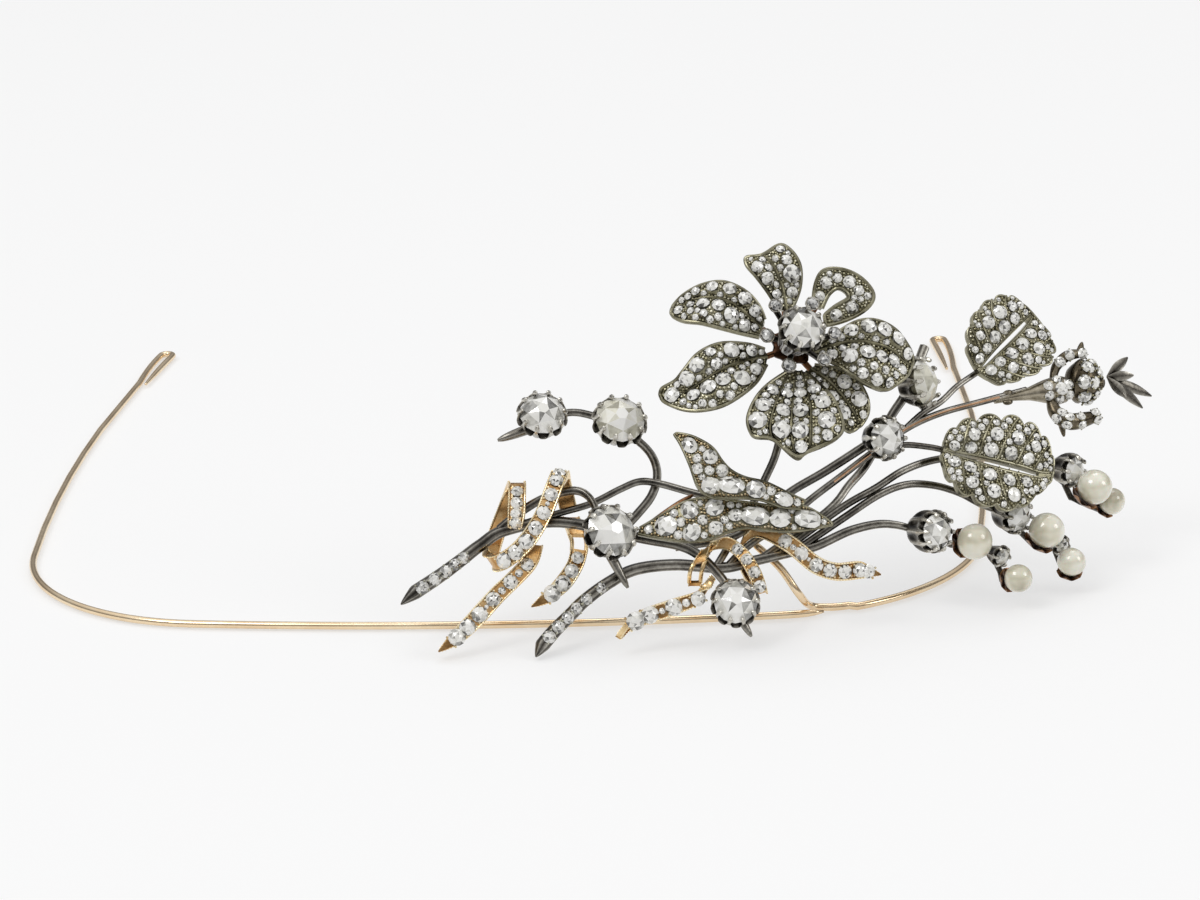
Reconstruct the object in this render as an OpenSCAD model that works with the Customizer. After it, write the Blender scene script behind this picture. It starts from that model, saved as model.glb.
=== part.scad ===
// Diadem: a gold wire head band that carries a jewelled spray of flower, leaves, bud and pearls.
// Millimetres. The band lies flat, and the spray leans back over its front right side.

/* [Head band] */
// Width of the band between the middles of its wires
band_w = 143.6; // [135:0.2:155]
// Depth of the band, from its front wire to the tips of its eyelets
band_d = 132; // [124:0.5:142]
// Bend radius of the band's two front corners
corner_r = 32; // [28:0.5:36]
// Diameter of the band's round gold wire
wire_d = 1.1; // [0.9:0.05:1.3]
// Length of each end eyelet
eyelet_len = 16; // [12:0.5:20]
// Width of each end eyelet between the middles of its wires
eyelet_w = 2.1; // [1.9:0.1:3]

/* [Spray] */
// Size that the whole spray is laid out to, from the cut stem end to the bud's tip
spray_w = 107; // [102:0.5:112]
// How far the spray's middle lies to the right of the band's middle
spray_right = 16; // [13:0.5:19]
// How far the spray's middle lies behind the band's front wire
spray_back = 17; // [16:0.5:19]
// Thickness of the petals and leaves
plate_t = 1.0; // [0.8:0.05:1.2]
// Diameter of the thin stems
stem_d = 1.0; // [0.8:0.05:1.2]
// Diameter of the two main stems at their cut ends
trunk_d = 1.9; // [1.6:0.05:2.1]

/* [Settings and ribbons] */
// Wall of the collets round the large stones
collet_wall = 0.35; // [0.25:0.05:0.45]
// Width of the gold ribbon
ribbon_w = 2.5; // [2.2:0.05:2.8]
// Thickness of the gold ribbon
ribbon_t = 0.9; // [0.7:0.05:1.1]
// Gap between pieces that are set in or on each other
fit_gap = 0.12; // [0.1:0.01:0.16]

/* [Hidden] */

// The spray faces forwards and a little up, and its layout is drawn as seen from view_dist away
face_turn = 4;
face_rise = 18.5;
face_roll = -2.3;
view_dist = 556;
spray_up = 0.191 * spray_w;
level_right = [cos(face_turn), sin(face_turn), 0];
out_dir = [sin(face_turn) * cos(face_rise), -cos(face_turn) * cos(face_rise), sin(face_rise)];
level_up = cross(out_dir, level_right);
right_dir = cos(face_roll) * level_right + sin(face_roll) * level_up;
up_dir = cos(face_roll) * level_up - sin(face_roll) * level_right;
spray_mid = [spray_right, spray_back, spray_up];

// Depth of the spray's own surface, in percent of spray_w: it leans back and wraps to the right
surface_front = 9.2;
surface_lean = 0.3;
surface_turn = 0.06;
surface_wrap = 0.0046;
wrap_from = 10;
unit_len = spray_w / 100;

// General helpers
function unit(v) = v / norm(v);
function mix(a, b, t) = a + (b - a) * t;
function spline(a, b, c, d, t) =
    0.5 * (2 * b + (c - a) * t + (2 * a - 5 * b + 4 * c - d) * t * t + (3 * b - a - 3 * c + d) * t * t * t);
function along(list, t) =
    let (n = len(list) - 1, f = min(max(t, 0), 0.99999) * n, i = floor(f))
    spline(list[max(i - 1, 0)], list[i], list[i + 1], list[min(i + 2, n)], f - i);

// A layout point [right, up, lift] in percent of spray_w, as a place on the real spray
function surface_depth(u, v) =
    surface_front - surface_lean * v + surface_turn * u - surface_wrap * pow(max(u - wrap_from, 0), 2);
function at(p) =
    let (depth = (surface_depth(p[0], p[1]) + p[2]) * unit_len, s = unit_len * (1 - depth / view_dist))
    spray_mid + right_dir * p[0] * s + up_dir * p[1] * s + out_dir * depth;
function facing(n) = unit(right_dir * n[0] + up_dir * n[1] + out_dir * n[2]);
function side_of(n) = unit(cross(up_dir, n));

// Round wire or stem: rings of points round a path, closed at both ends
function tangent(path, i) = unit(path[min(i + 1, len(path) - 1)] - path[max(i - 1, 0)]);
function ring(c, dir, ref, r, sides) =
    let (a = unit(cross(dir, ref)), b = cross(dir, a))
    [for (k = [0:sides - 1]) c + r * (cos(360 * k / sides) * a + sin(360 * k / sides) * b)];
function tube_faces(rings, sides) = [
    for (i = [0:rings - 2], k = [0:sides - 1])
        let (l = (k + 1) % sides, p = i * sides, q = p + sides)
        each [[p + k, q + k, q + l], [p + k, q + l, p + l]],
    [for (k = [0:sides - 1]) k],
    [for (k = [0:sides - 1]) rings * sides - 1 - k]
];
module tube(path, r_first, r_last, ref = out_dir, sides = 8) {
    n = len(path);
    points = [
        for (i = [0:n - 1])
            each ring(path[i], tangent(path, i), ref, mix(r_first, r_last, i / (n - 1)), sides)
    ];
    polyhedron(points = points, faces = tube_faces(n, sides));
}
module stem(places, d_first, d_last, steps = 8, sides = 5) {
    tube([for (i = [0:steps]) at(along(places, i / steps))], d_first / 2, d_last / 2, out_dir, sides);
}

// Head band: front, corner and side arcs, found from the band's width, depth and corner radius
front_turn = 5.7;
corner_turn = 79.5;
side_turn = 13.5;
turn_b = front_turn + corner_turn;
turn_c = turn_b + side_turn;
need_w = band_w / 2 - corner_r * (sin(turn_b) - sin(front_turn));
need_d = band_d - corner_r * (cos(front_turn) - cos(turn_b));
side_w = 1 - sin(turn_b);
side_d = cos(turn_b) - cos(turn_c);
front_w = sin(front_turn);
front_d = 1 - cos(front_turn);
front_r = (need_w * side_d - side_w * need_d) / (front_w * side_d - side_w * front_d);
side_r = (front_w * need_d - front_d * need_w) / (front_w * side_d - side_w * front_d);
function arc_step(r, from, to) = r * [sin(to) - sin(from), cos(from) - cos(to), 0];
function band_at(turn) =
    let (a = min(turn, front_turn), b = min(max(turn, front_turn), turn_b), c = max(turn, turn_b))
    arc_step(front_r, 0, a) + arc_step(corner_r, front_turn, b) + arc_step(side_r, turn_b, c)
    + [0, 0, wire_d / 2];
function band_in(turn) = [-sin(turn), cos(turn), 0];
function mirrored(p) = [-p[0], p[1], p[2]];

// The eyelet is a narrow loop on the line of the side wire: the wire turns back at its tip and
// closes against itself, share 0 is where it closes and share 1 is the start of its tip
eyelet_turn = eyelet_len / side_r * 180 / PI;
eyelet_close = wire_d + fit_gap;
function eyelet_at(share, aside) =
    band_at(turn_c - eyelet_turn * (1 - share)) + band_in(turn_c) * aside;
eyelet_path = concat(
    [for (t = [0:0.25:1]) eyelet_at(t, mix(eyelet_close, eyelet_w / 2, t))],
    [for (a = [36:36:144])
        eyelet_at(1, eyelet_w / 2 * cos(a)) + [cos(turn_c), sin(turn_c), 0] * eyelet_w / 2 * sin(a)],
    [for (t = [1:-0.25:0]) eyelet_at(t, -eyelet_w / 2 * sin(90 * t))]
);
side_turns = [turn_b + 7, turn_b + 3.5];
corner_turns = [for (i = [8:-1:0]) front_turn + corner_turn * i / 8];
front_path = [for (t = concat(side_turns, corner_turns)) band_at(t)];
left_joint_turn = 19;
left_end_turn = 16.5;
wire_left_path = concat(
    [for (p = eyelet_path) mirrored(p)],
    [for (p = front_path) mirrored(p)],
    [band_at(0), band_at(front_turn)],
    [band_at(mix(front_turn, left_end_turn, 0.5)), band_at(left_end_turn)]
);

// The right wire leaves the band beside the left wire's end and climbs behind the stems
support_top = at([20.2, -12.2, -2.4]);
support_turn = 24;
support_side = band_in(left_joint_turn) * (wire_d + fit_gap * 2);
support_path = [
    band_at(left_joint_turn) + support_side,
    band_at(left_joint_turn - 5) + support_side * 1.15 + [0, 0, 0.5],
    at([26.5, -19.2, -3.6]),
    at([23.9, -15.6, -2.8]),
    support_top
];
wire_right_path = concat(
    eyelet_path,
    [for (t = concat(side_turns, corner_turns)) if (t > support_turn) band_at(t)],
    [band_at(support_turn) + support_side * 0.6],
    support_path
);

module wire_left() {
    color("goldenrod") tube(wire_left_path, wire_d / 2, wire_d / 2, [0, 0, 1]);
}
module wire_right() {
    color("goldenrod") tube(wire_right_path, wire_d / 2, wire_d / 2, [0, 0, 1]);
}

// Flat plates, such as a petal or a leaf. Each rib row is [[edge, middle, edge], lift], where the
// points are [right, up], and the relief list holds lifts across it as shares of its half width.
function rib_uv(ribs, t, s) =
    along([for (j = [0:len(ribs[0][0]) - 1]) along([for (r = ribs) r[0][j]], t)], (s + 1) / 2);
function rib_half(ribs, t) = norm(rib_uv(ribs, t, 1) - rib_uv(ribs, t, -1)) / 2;
function rib_lift(ribs, relief, t, s) =
    along([for (r = ribs) r[1]], t) + along(relief, (s + 1) / 2) * rib_half(ribs, t);
function plate_at(ribs, relief, t, s) =
    let (p = rib_uv(ribs, t, s))
    at([p[0], p[1], rib_lift(ribs, relief, t, s)]);
function plate_normal(ribs, relief, t, s) =
    let (
        a = plate_at(ribs, relief, min(t + 0.02, 1), s) - plate_at(ribs, relief, max(t - 0.02, 0), s),
        b = plate_at(ribs, relief, t, min(s + 0.05, 1)) - plate_at(ribs, relief, t, max(s - 0.05, -1)),
        n = unit(cross(a, b))
    )
    n * out_dir > 0 ? n : -n;

// Faces of a closed plate of rows by cols points, with an optional slit between two columns
function quad(a, b, c, d) = [[a, b, c], [a, c, d]];
function in_slit(i, j, slit) = len(slit) > 0 && j == slit[0] && i >= slit[1] && i < slit[2];
function plate_faces(rows, cols, slit) =
    let (n = rows * cols)
    [
        for (i = [0:rows - 2], j = [0:cols - 2])
            let (p = i * cols + j, q = p + cols)
            if (!in_slit(i, j, slit))
                each concat(quad(p, q, q + 1, p + 1), quad(n + p, n + p + 1, n + q + 1, n + q)),
        for (i = [0:rows - 2])
            let (p = i * cols, q = p + cols, e = cols - 1)
            each concat(quad(p, n + p, n + q, q), quad(p + e, q + e, n + q + e, n + p + e)),
        for (j = [0:cols - 2])
            let (m = (rows - 1) * cols + j)
            each concat(quad(j, j + 1, n + j + 1, n + j), quad(m, n + m, n + m + 1, m + 1)),
        for (i = [0:rows - 2])
            let (p = i * cols + (len(slit) > 0 ? slit[0] : 0), q = p + cols)
            if (len(slit) > 0 && in_slit(i, slit[0], slit))
                each concat(quad(p, q, n + q, n + p), quad(p + 1, n + p + 1, n + q + 1, q + 1)),
        if (len(slit) > 0)
            let (a = slit[1] * cols + slit[0], b = slit[2] * cols + slit[0])
            each concat(quad(a, n + a, n + a + 1, a + 1), quad(b, b + 1, n + b + 1, n + b))
    ];
module plate(ribs, relief, rows = 8, across = [-1, -0.5, 0, 0.5, 1], slit = [], tooth = 0) {
    back = plate_normal(ribs, relief, 0.5, 0) * plate_t;
    front_points = [
        for (i = [0:rows - 1], s = across)
            plate_at(ribs, relief, i / (rows - 1), abs(s) == 1 ? s * (1 - tooth * (i % 2)) : s)
    ];
    points = concat(front_points, [for (p = front_points) p - back]);
    down = plate_at(ribs, relief, 0.6, 0) - plate_at(ribs, relief, 0.4, 0);
    over = plate_at(ribs, relief, 0.5, 0.5) - plate_at(ribs, relief, 0.5, -0.5);
    flip = cross(down, over) * out_dir > 0;
    faces = plate_faces(rows, len(across), slit);
    polyhedron(points = points, faces = flip ? [for (f = faces) [f[2], f[1], f[0]]] : faces);
}

// Small stones: a table within two rounds of facets. Each gem is [centre, normal, diameter].
gem_sides = 7;
gem_table = 0.5;
gem_rise = 0.36;
gem_clear = 0.2;
function gem_points(g) =
    let (a = side_of(g[1]), b = cross(g[1], a), base = g[0] + g[1] * gem_clear)
    [
        for (level = [[1, 0, 0.5], [gem_table, gem_rise, 0]], k = [0:gem_sides - 1])
            let (w = 360 * (k + level[2]) / gem_sides)
            base + g[2] * (level[0] / 2 * (cos(w) * a + sin(w) * b) + level[1] * g[1])
    ];
function gem_faces(first) = [
    for (k = [0:gem_sides - 1])
        let (l = (k + 1) % gem_sides, p = first, q = first + gem_sides)
        each [[p + k, q + k, q + l], [p + k, q + l, p + l]],
    [for (k = [0:gem_sides - 1]) first + k],
    [for (k = [0:gem_sides - 1]) first + 2 * gem_sides - 1 - k]
];
module gems(list) {
    points = [for (g = list) each gem_points(g)];
    faces = [for (i = [0:len(list) - 1]) each gem_faces(i * 2 * gem_sides)];
    color("aliceblue") polyhedron(points = points, faces = faces);
}
// Rows of stones on a plate. Each row is [share along, list of shares across, diameter], and a
// large stone that bridges a fold has its height above the fold as a fourth value.
function plate_gems(ribs, relief, rows) = [
    for (r = rows, s = r[1])
        let (n = plate_normal(ribs, relief, r[0], s))
        [plate_at(ribs, relief, r[0], s) + n * (len(r) > 3 ? r[3] : 0), n, r[2] * unit_len]
];

// Large stones: rose cut with a small table. Each setting is
// [right, up, lift, facing, stone diameter, collet depth], and place and sizes are percents.
SETTINGS = [
    [-7.7, 5.0, 3.6, [0.10, 0.48, 0.87], 6.0, 3.2],
    [2.7, 4.2, 3.6, [0.15, 0.48, 0.86], 6.6, 3.2],
    [1.6, -10.7, 6.2, [0.42, 0.30, 0.86], 6.7, 3.4],
    [18.1, -20.2, 4.4, [0.05, 0.30, 0.95], 5.7, 3.2],
    [38.4, 1.6, 4.4, [0.50, 0.00, 0.87], 5.2, 3.6],
    [43.4, 9.1, 2.4, [0.88, 0.15, 0.45], 6.4, 3.2],
    [45.1, -10.9, 2.0, [0.60, -0.05, 0.80], 4.9, 4.4],
    [56.0, -8.9, 1.0, [0.62, -0.20, 0.76], 4.2, 4.0],
    [63.4, -2.8, -0.4, [0.70, -0.15, 0.70], 3.8, 3.2],
    [53.7, -14.3, 0.8, [0.60, -0.30, 0.74], 2.3, 2.4],
    [61.7, -12.8, -1.8, [0.60, -0.30, 0.74], 2.1, 2.2]
];
FLOWER = [27.1, 16.4, 15.0, [0.24, 0.36, 0.90], 5.6, 6.4];
// Pearls: [right, up, lift, facing, diameter]
PEARLS = [
    [50.0, -12.2, 2.0, [0.75, 0.10, 0.65], 4.7],
    [55.8, -17.1, 1.6, [0.80, 0.15, 0.58], 3.7],
    [59.6, -10.7, 1.9, [0.45, 0.75, 0.48], 4.7],
    [62.9, -14.9, 0.2, [0.10, 0.80, 0.59], 3.8],
    [66.0, -4.9, 2.0, [0.62, 0.68, 0.40], 4.7],
    [68.3, -6.8, -1.6, [0.60, 0.50, 0.62], 3.6]
];
seat_share = 0.16;
function centre_of(c) = at([c[0], c[1], c[2]]);
function foot_of(c) = centre_of(c) - facing(c[3]) * c[5] * unit_len;
function back_of(p) = centre_of(p) - facing(p[3]) * (p[4] / 2 * unit_len + fit_gap);
function hold_of(p) = back_of(p) - facing(p[3]) * stem_d / 2;

// Stands what follows at a place, with its own z along a facing
module stand_at(place, n) {
    a = side_of(n);
    b = cross(n, a);
    multmatrix([
        [a[0], b[0], n[0], place[0]],
        [a[1], b[1], n[1], place[1]],
        [a[2], b[2], n[2], place[2]],
        [0, 0, 0, 1]
    ]) children();
}
module cut_stone(c) {
    d = c[4] * unit_len;
    n = facing(c[3]);
    a = side_of(n);
    b = cross(n, a);
    base = centre_of(c) - n * (d * seat_share - fit_gap);
    levels = [[0.43, 0, 0], [0.5, 0.1, 0], [0.34, 0.27, -0.5], [0.15, 0.36, -1]];
    points = [
        for (l = levels, k = [0:7])
            let (w = 45 * (k + l[2]))
            base + d * (l[0] * (cos(w) * a + sin(w) * b) + l[1] * n)
    ];
    color("white") polyhedron(points = points, faces = tube_faces(4, 8));
}
// A cup with a scalloped rim: rings of [radius, height, how far the claws stand up], outside then inside
claws = 6;
small_claws = 4;
small_setting = 3;
module cup(levels, sides) {
    points = [
        for (l = levels, k = [0:sides - 1])
            let (w = 360 * k / sides)
            [l[0] * cos(w), l[0] * sin(w), l[1] + l[2] * (k % 2)]
    ];
    polyhedron(points = points, faces = tube_faces(len(levels), sides));
}
module collet(c) {
    sides = 2 * (c[4] > small_setting ? claws : small_claws);
    r = c[4] / 2 * unit_len / cos(180 / sides) + fit_gap;
    h = c[5] * unit_len;
    seat = c[4] * seat_share * unit_len;
    claw = c[4] * 0.14 * unit_len;
    outside = [[r * 0.6, 0, 0], [r + collet_wall, h - claw, claw * 1.4]];
    inside = [[r, h - claw, claw * 1.4], [r * 0.97, h - seat, 0]];
    stand_at(foot_of(c), facing(c[3])) cup(concat(outside, inside), sides);
}
module pearl(p) {
    color("ivory") translate(centre_of(p)) sphere(d = p[4] * unit_len, $fn = 32);
}
module pearl_cup(p) {
    r = p[4] / 2 * unit_len;
    brim = r * 0.74 + fit_gap;
    outside = [[r * 0.3, -collet_wall, 0], [brim + collet_wall, r * 0.26, 0]];
    stand_at(back_of(p), facing(p[3])) cup(concat(outside, [[brim, r * 0.26, 0], [r * 0.42, 0, 0]]), 8);
}
module spike(from, to, d) {
    hull() {
        translate(from) sphere(d = d, $fn = 5);
        translate(to) sphere(d = d * 0.25, $fn = 4);
    }
}
// Stems: each is a list of [right, up, lift]
// The two cut stem ends run out into points
trunk_point = [-26.6, -20.6, 1.6];
low_point = [-8.6, -27.6, 2.4];
TRUNK = [[-24.6, -18.9, 1.2], [-21.3, -16.7, 1], [-18.6, -14.7, 0.7], [-16, -12.7, 0.4], [-12.7, -10.7, 0.2],
    [-5.3, -9.6, 0], [5.3, -11.7, 0.4], [12, -13.3, 0.8], [16.3, -17.2, 1], [17.9, -20.6, 1.4]];
STEM_C3 = [[-13.5, -10.6, 0.3], [-10.4, -8.1, 0.6], [-7.2, -6.3, 1], [-3.5, -5.4, 1.4], [-1.4, -6.4, 2],
    [-0.2, -9, 3], [0.2, -11.2, 3.5]];
STEM_CURL = [[-11, -10, 0.2], [-5.1, -8.3, 0.6], [-1.1, -7.1, 1], [2.7, -5.2, 1.4], [5.3, -4.2, 1.6],
    [8, -4.5, 1.6], [12, -5.6, 2], [16.3, -6.7, 2.2]];
STEM_PAIR = [[2.4, -11.2, 0.3], [4.9, -8.6, 0.3], [6.9, -6, 0.2], [7.6, -3.2, 0.2], [6.8, -0.6, 0.6],
    [4.6, 1.6, 1.2], [2.4, 2.8, 1.2]];
LINK_PAIR = [[2, 3.2, 1.2], [-1.1, 4.6, 1.3], [-4.3, 5, 1], [-7.6, 3.8, 1]];
STEM_LOW = [[-7.7, -26, 1.9], [-6, -24, 1.4], [-4, -22, 0.9], [-2, -20, 0.6], [1.3, -17.6, 0.2],
    [4.8, -15.9, 0],
    [10.1, -15.3, 0], [16.3, -15.7, -0.4], [20.4, -14.8, -0.4], [25.5, -13.6, -0.4], [28.8, -12.8, -0.4],
    [33.2, -10.8, -0.6], [36.9, -9.9, -0.8], [39.6, -10, -1], [42.2, -10.7, -1.4]];
STEM_C5 = [[10, -13, 0.2], [17.6, -11.6, 0.4], [21.6, -8.6, 0.6], [25.5, -5.5, 0.8], [30.1, -2.8, 1],
    [36, 1, 1.4]];
STEM_BUD = [[17, -15.5, -0.3], [19.6, -12.9, -0.1], [24.7, -9.4, 0], [28.3, -6.4, 0], [32, -3.6, 0.2],
    [36.2, -0.4, 0.4], [40.9, 2.9, 0.4], [45.3, 4.9, 0.6], [50.7, 6.4, 0.8], [56.9, 8.05, 1]];
STEM_BAR = [[21, -14.8, -0.4], [30.1, -8.3, -0.4], [33.2, -4.7, -0.8], [35.7, -1.6, -1], [38.7, 4.3, -1.1],
    [40.7, 7.4, -0.4], [42.2, 11, -0.4], [43.3, 13.8, -0.4]];
STEM_C9 = [[23.4, -14.2, -0.3], [31.9, -7.9, 0.4], [36.7, -5.1, 0.4], [40.7, -2.6, 0.2], [45.2, -1.2, -0.4],
    [50.7, -0.9, -1], [56, -1.4, -1.6], [61.2, -2.4, -2.4]];
STEM_C8 = [[25.8, -13.6, -0.4], [32.7, -8.9, 0.2], [37.3, -5.9, 0], [40.9, -4.6, -0.4], [44.5, -4.7, -0.8],
    [47.9, -5.7, -1.4], [50.8, -7.2, -1.8], [53.6, -8.2, -2]];
STEM_LEAF_UP = [[40.9, 3, 0.4], [43, 4.9, 0.5], [45.5, 6.5, 0.5], [47.6, 8.5, 0.3], [50.2, 10.3, 0.1]];
STEM_LEAF_LOW = [[37.6, 0.2, 1.8], [40.7, 0.7, 2.2], [44, 0.4, 2.3], [45.9, 0, 2.4]];
STEM_FLOWER = [[15.4, -15.7, -0.4], [19.6, -8.6, -0.4], [22.1, -3.6, 0], [23.4, -0.6, 1], [24.2, 3, 1.8],
    [24.8, 8, 2.8], [25.2, 12.4, 3.8]];
// Links run behind each string, from its first collet to its pearls and its small collet
bend_7 = at([46.8, -12.6, -1.9]);
bend_8 = at([56.6, -11.4, -2.4]);
STRINGS = [
    [foot_of(SETTINGS[6]), bend_7, foot_of(SETTINGS[9]), at([53.4, -16.2, -1.2]), hold_of(PEARLS[1])],
    [foot_of(SETTINGS[7]), bend_8, foot_of(SETTINGS[10]), at([61.8, -16.2, -3.2]), hold_of(PEARLS[3])],
    [foot_of(SETTINGS[8]), at([62.8, -6.3, -2.2]), hold_of(PEARLS[4]), hold_of(PEARLS[5])]
];
link_share = 0.92;
module link(from, to) {
    hull() {
        translate(from) sphere(d = stem_d * link_share, $fn = 5);
        translate(to) sphere(d = stem_d * link_share, $fn = 5);
    }
}

module stems() {
    color("dimgray") union() {
        stem(TRUNK, trunk_d, stem_d * 1.1, 10, 7);
        stem(STEM_C3, stem_d * 1.2, stem_d, 7);
        stem(STEM_CURL, stem_d * 0.9, stem_d, 7);
        stem(STEM_PAIR, stem_d * 1.2, stem_d * 1.1, 7);
        stem(LINK_PAIR, stem_d, stem_d, 4);
        stem(STEM_LOW, trunk_d, stem_d, 11, 7);
        stem(STEM_C5, stem_d, stem_d * 1.2, 6);
        stem(STEM_BUD, stem_d, stem_d * 0.9, 8);
        stem(STEM_BAR, stem_d, stem_d * 1.4, 6);
        stem(STEM_C9, stem_d, stem_d, 8);
        stem(STEM_C8, stem_d, stem_d, 8);
        stem(STEM_LEAF_UP, stem_d * 0.9, stem_d * 0.8, 4);
        stem(STEM_LEAF_LOW, stem_d * 0.8, stem_d * 0.8, 3);
        stem(STEM_FLOWER, stem_d, stem_d * 1.1, 6);
        for (s = STRINGS)
            tube(s, stem_d * link_share / 2, stem_d * link_share / 2, out_dir, 5);
        link(bend_7, hold_of(PEARLS[0]));
        link(bend_8, hold_of(PEARLS[2]));
        link(foot_of(SETTINGS[2]), at(STEM_C3[6]));
        for (c = SETTINGS)
            collet(c);
        for (p = PEARLS)
            pearl_cup(p);
        spike(at(TRUNK[0]), at(trunk_point), trunk_d * 1.04);
        spike(at(STEM_LOW[0]), at(low_point), trunk_d * 1.04);
        spike(foot_of(SETTINGS[0]), at([-13.7, 1.3, 1.2]), stem_d * 1.2);
        spike(foot_of(SETTINGS[2]), at([3.7, -18.4, 2.2]), stem_d * 1.2);
        spike(foot_of(SETTINGS[3]), at([20.2, -24.9, 1.4]), stem_d);
    }
}

// Gem rows on a round stem: [share along its list, diameter]
function stem_gems(places, d_first, d_last, rows) = [
    for (r = rows)
        let (
            c = at(along(places, r[0])),
            t = unit(at(along(places, r[0] + 0.01)) - at(along(places, r[0] - 0.01))),
            n = unit(out_dir - t * (out_dir * t))
        )
        [c + n * mix(d_first, d_last, r[0]) / 2, n, r[1] * unit_len]
];
module stem_stones() {
    gems(concat(
        stem_gems(TRUNK, trunk_d, stem_d * 1.1, [for (k = [0:4]) [0.033 + 0.05 * k, 1.5 - 0.05 * k]]),
        stem_gems(STEM_LOW, trunk_d, stem_d, [for (k = [0:5]) [0.034 + 0.045 * k, 1.5 - 0.05 * k]])
    ));
}

// Gold ribbon: each row is [right, up, lift, half width right, half width up], the last two
// as shares of half the ribbon's width
function strip_mid(rows, t) = let (r = along(rows, t)) at([r[0], r[1], r[2]]);
function strip_half(rows, t) =
    let (r = along(rows, t))
    (right_dir * r[3] + up_dir * r[4]) * ribbon_w / 2;
function strip_normal(rows, t) =
    let (
        along_dir = strip_mid(rows, min(t + 0.01, 1)) - strip_mid(rows, max(t - 0.01, 0)),
        n = unit(cross(along_dir, strip_half(rows, t)))
    )
    n;
module strip(rows, steps) {
    points = [
        for (i = [0:steps])
            let (
                t = i / steps,
                m = strip_mid(rows, t),
                h = strip_half(rows, t),
                n = strip_normal(rows, t) * ribbon_t / 2
            )
            each [m - h - n, m + h - n, m + h + n, m - h + n]
    ];
    color("gold") polyhedron(points = points, faces = tube_faces(steps + 1, 4));
}
// Stones along a ribbon: [share along, diameter], on its outer face
function strip_gems(rows, list, side = 1) = [
    for (g = list)
        let (n = strip_normal(rows, g[0]) * side)
        [strip_mid(rows, g[0]) + n * ribbon_t / 2, n, g[1] * unit_len]
];
function even_gems(from, to, n, d_from, d_to) = [
    for (k = [0:n - 1]) [mix(from, to, k / max(n - 1, 1)), mix(d_from, d_to, k / max(n - 1, 1))]
];

RIBBON_LEFT_LOOP = [
    [-4.2, -8, -2.6, 1, 0.1], [-5, -4.6, -0.6, 1, 0.1], [-5.3, -3.3, 1.6, 1, 0], [-6, -4.6, 3, 1, -0.1],
    [-7.8, -9, 3.4, 0.9, -0.35], [-10.2, -12.6, 3.2, 0.8, -0.6], [-13, -14.8, 2.4, 0.5, -0.85],
    [-14.6, -14.6, -0.2, 0.6, -0.8], [-14, -11.8, -2.7, 0.9, -0.3], [-12.8, -8.4, -2.7, 1, 0],
    [-11.6, -5.4, -1.2, 1, 0], [-11.1, -4.7, 0.6, 1, 0], [-11.1, -6, 2, 1, 0], [-11.2, -8.6, 2, 1, 0],
    [-11.4, -10.4, 1.8, 0.8, 0]
];
RIBBON_LEFT_TAIL = [
    [-8.8, -12.8, 0.6, 1, -0.1], [-9.8, -15.4, 1.4, 0.9, -0.4], [-13.8, -19.4, 2, 0.75, -0.65],
    [-16.9, -22.8, 2.2, 0.75, -0.65], [-19.4, -25.2, 2.2, 0.5, -0.6], [-21.6, -26.9, 2.2, 0.05, -0.08]
];
RIBBON_LEFT_SHORT = [
    [-3.9, -9.2, -2.9, 1, 0], [-3.3, -10.8, -1.8, 1, 0], [-2.8, -12.6, -0.4, 1, -0.1],
    [-3.3, -15.2, 0.4, 0.9, -0.3], [-5, -17.8, 0.8, 0.75, -0.6], [-7.2, -19.7, 1, 0.3, -0.6],
    [-9.2, -20.9, 1, 0.03, -0.08]
];
RIBBON_RIGHT_LOOP = [
    [12.6, -18, 0.6, 0.75, 0], [12.9, -15.8, 2, 0.8, 0.1], [14.4, -13.2, 2, 0.6, 0.5],
    [16.7, -12.4, 2, 0.3, 0.7], [18.9, -13.8, 2.4, 0.6, 0.45], [20.6, -16.4, 2.6, 0.7, 0.3],
    [21.4, -18.8, 1.6, 0.7, 0.2], [20.4, -17.4, -1.8, 0.8, 0.2], [18.4, -13, -2.4, 0.8, 0.2]
];
RIBBON_RIGHT_TAIL = [
    [14.4, -17.6, 2.6, 0.6, 0.6], [13.2, -19.6, 3, 0.4, 0.9], [9.6, -21, 3, 0.1, 1], [6, -22.2, 3, 0.2, 1],
    [3.6, -23.6, 3, 0.3, 0.6], [2.4, -25, 3, 0.05, 0.08]
];
RIBBON_RIGHT_UPPER = [
    [18.8, -12.2, 1.4, 0.3, 0.7], [21.4, -10.6, 1.8, 0.4, 0.9], [25.4, -12.6, 2.2, 0.5, 0.85],
    [28.6, -15.2, 2.4, 0.35, 0.95], [31.4, -16.2, 2.2, 0.1, 1], [34.6, -16, 2, 0, 1],
    [36.2, -16.3, 2, 0, 0.5], [37.4, -16.6, 2, 0, 0.08]
];
module ribbon_left_loop() {
    strip(RIBBON_LEFT_LOOP, 28);
}
module ribbon_left_tail() {
    strip(RIBBON_LEFT_TAIL, 10);
}
module ribbon_left_short() {
    strip(RIBBON_LEFT_SHORT, 12);
}
module ribbon_right_loop() {
    strip(RIBBON_RIGHT_LOOP, 16);
}
module ribbon_right_tail() {
    strip(RIBBON_RIGHT_TAIL, 10);
}
module ribbon_right_upper() {
    strip(RIBBON_RIGHT_UPPER, 14);
}
module ribbon_left_stones() {
    gems(concat(
        strip_gems(RIBBON_LEFT_LOOP, even_gems(0.17, 0.42, 8, 1.5, 1.8)),
        strip_gems(RIBBON_LEFT_LOOP, even_gems(0.85, 0.97, 4, 1.4, 1.1)),
        strip_gems(RIBBON_LEFT_TAIL, even_gems(0.2, 0.78, 6, 1.5, 1.9)),
        strip_gems(RIBBON_LEFT_SHORT, even_gems(0.46, 0.78, 4, 1.4, 2))
    ));
}
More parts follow.
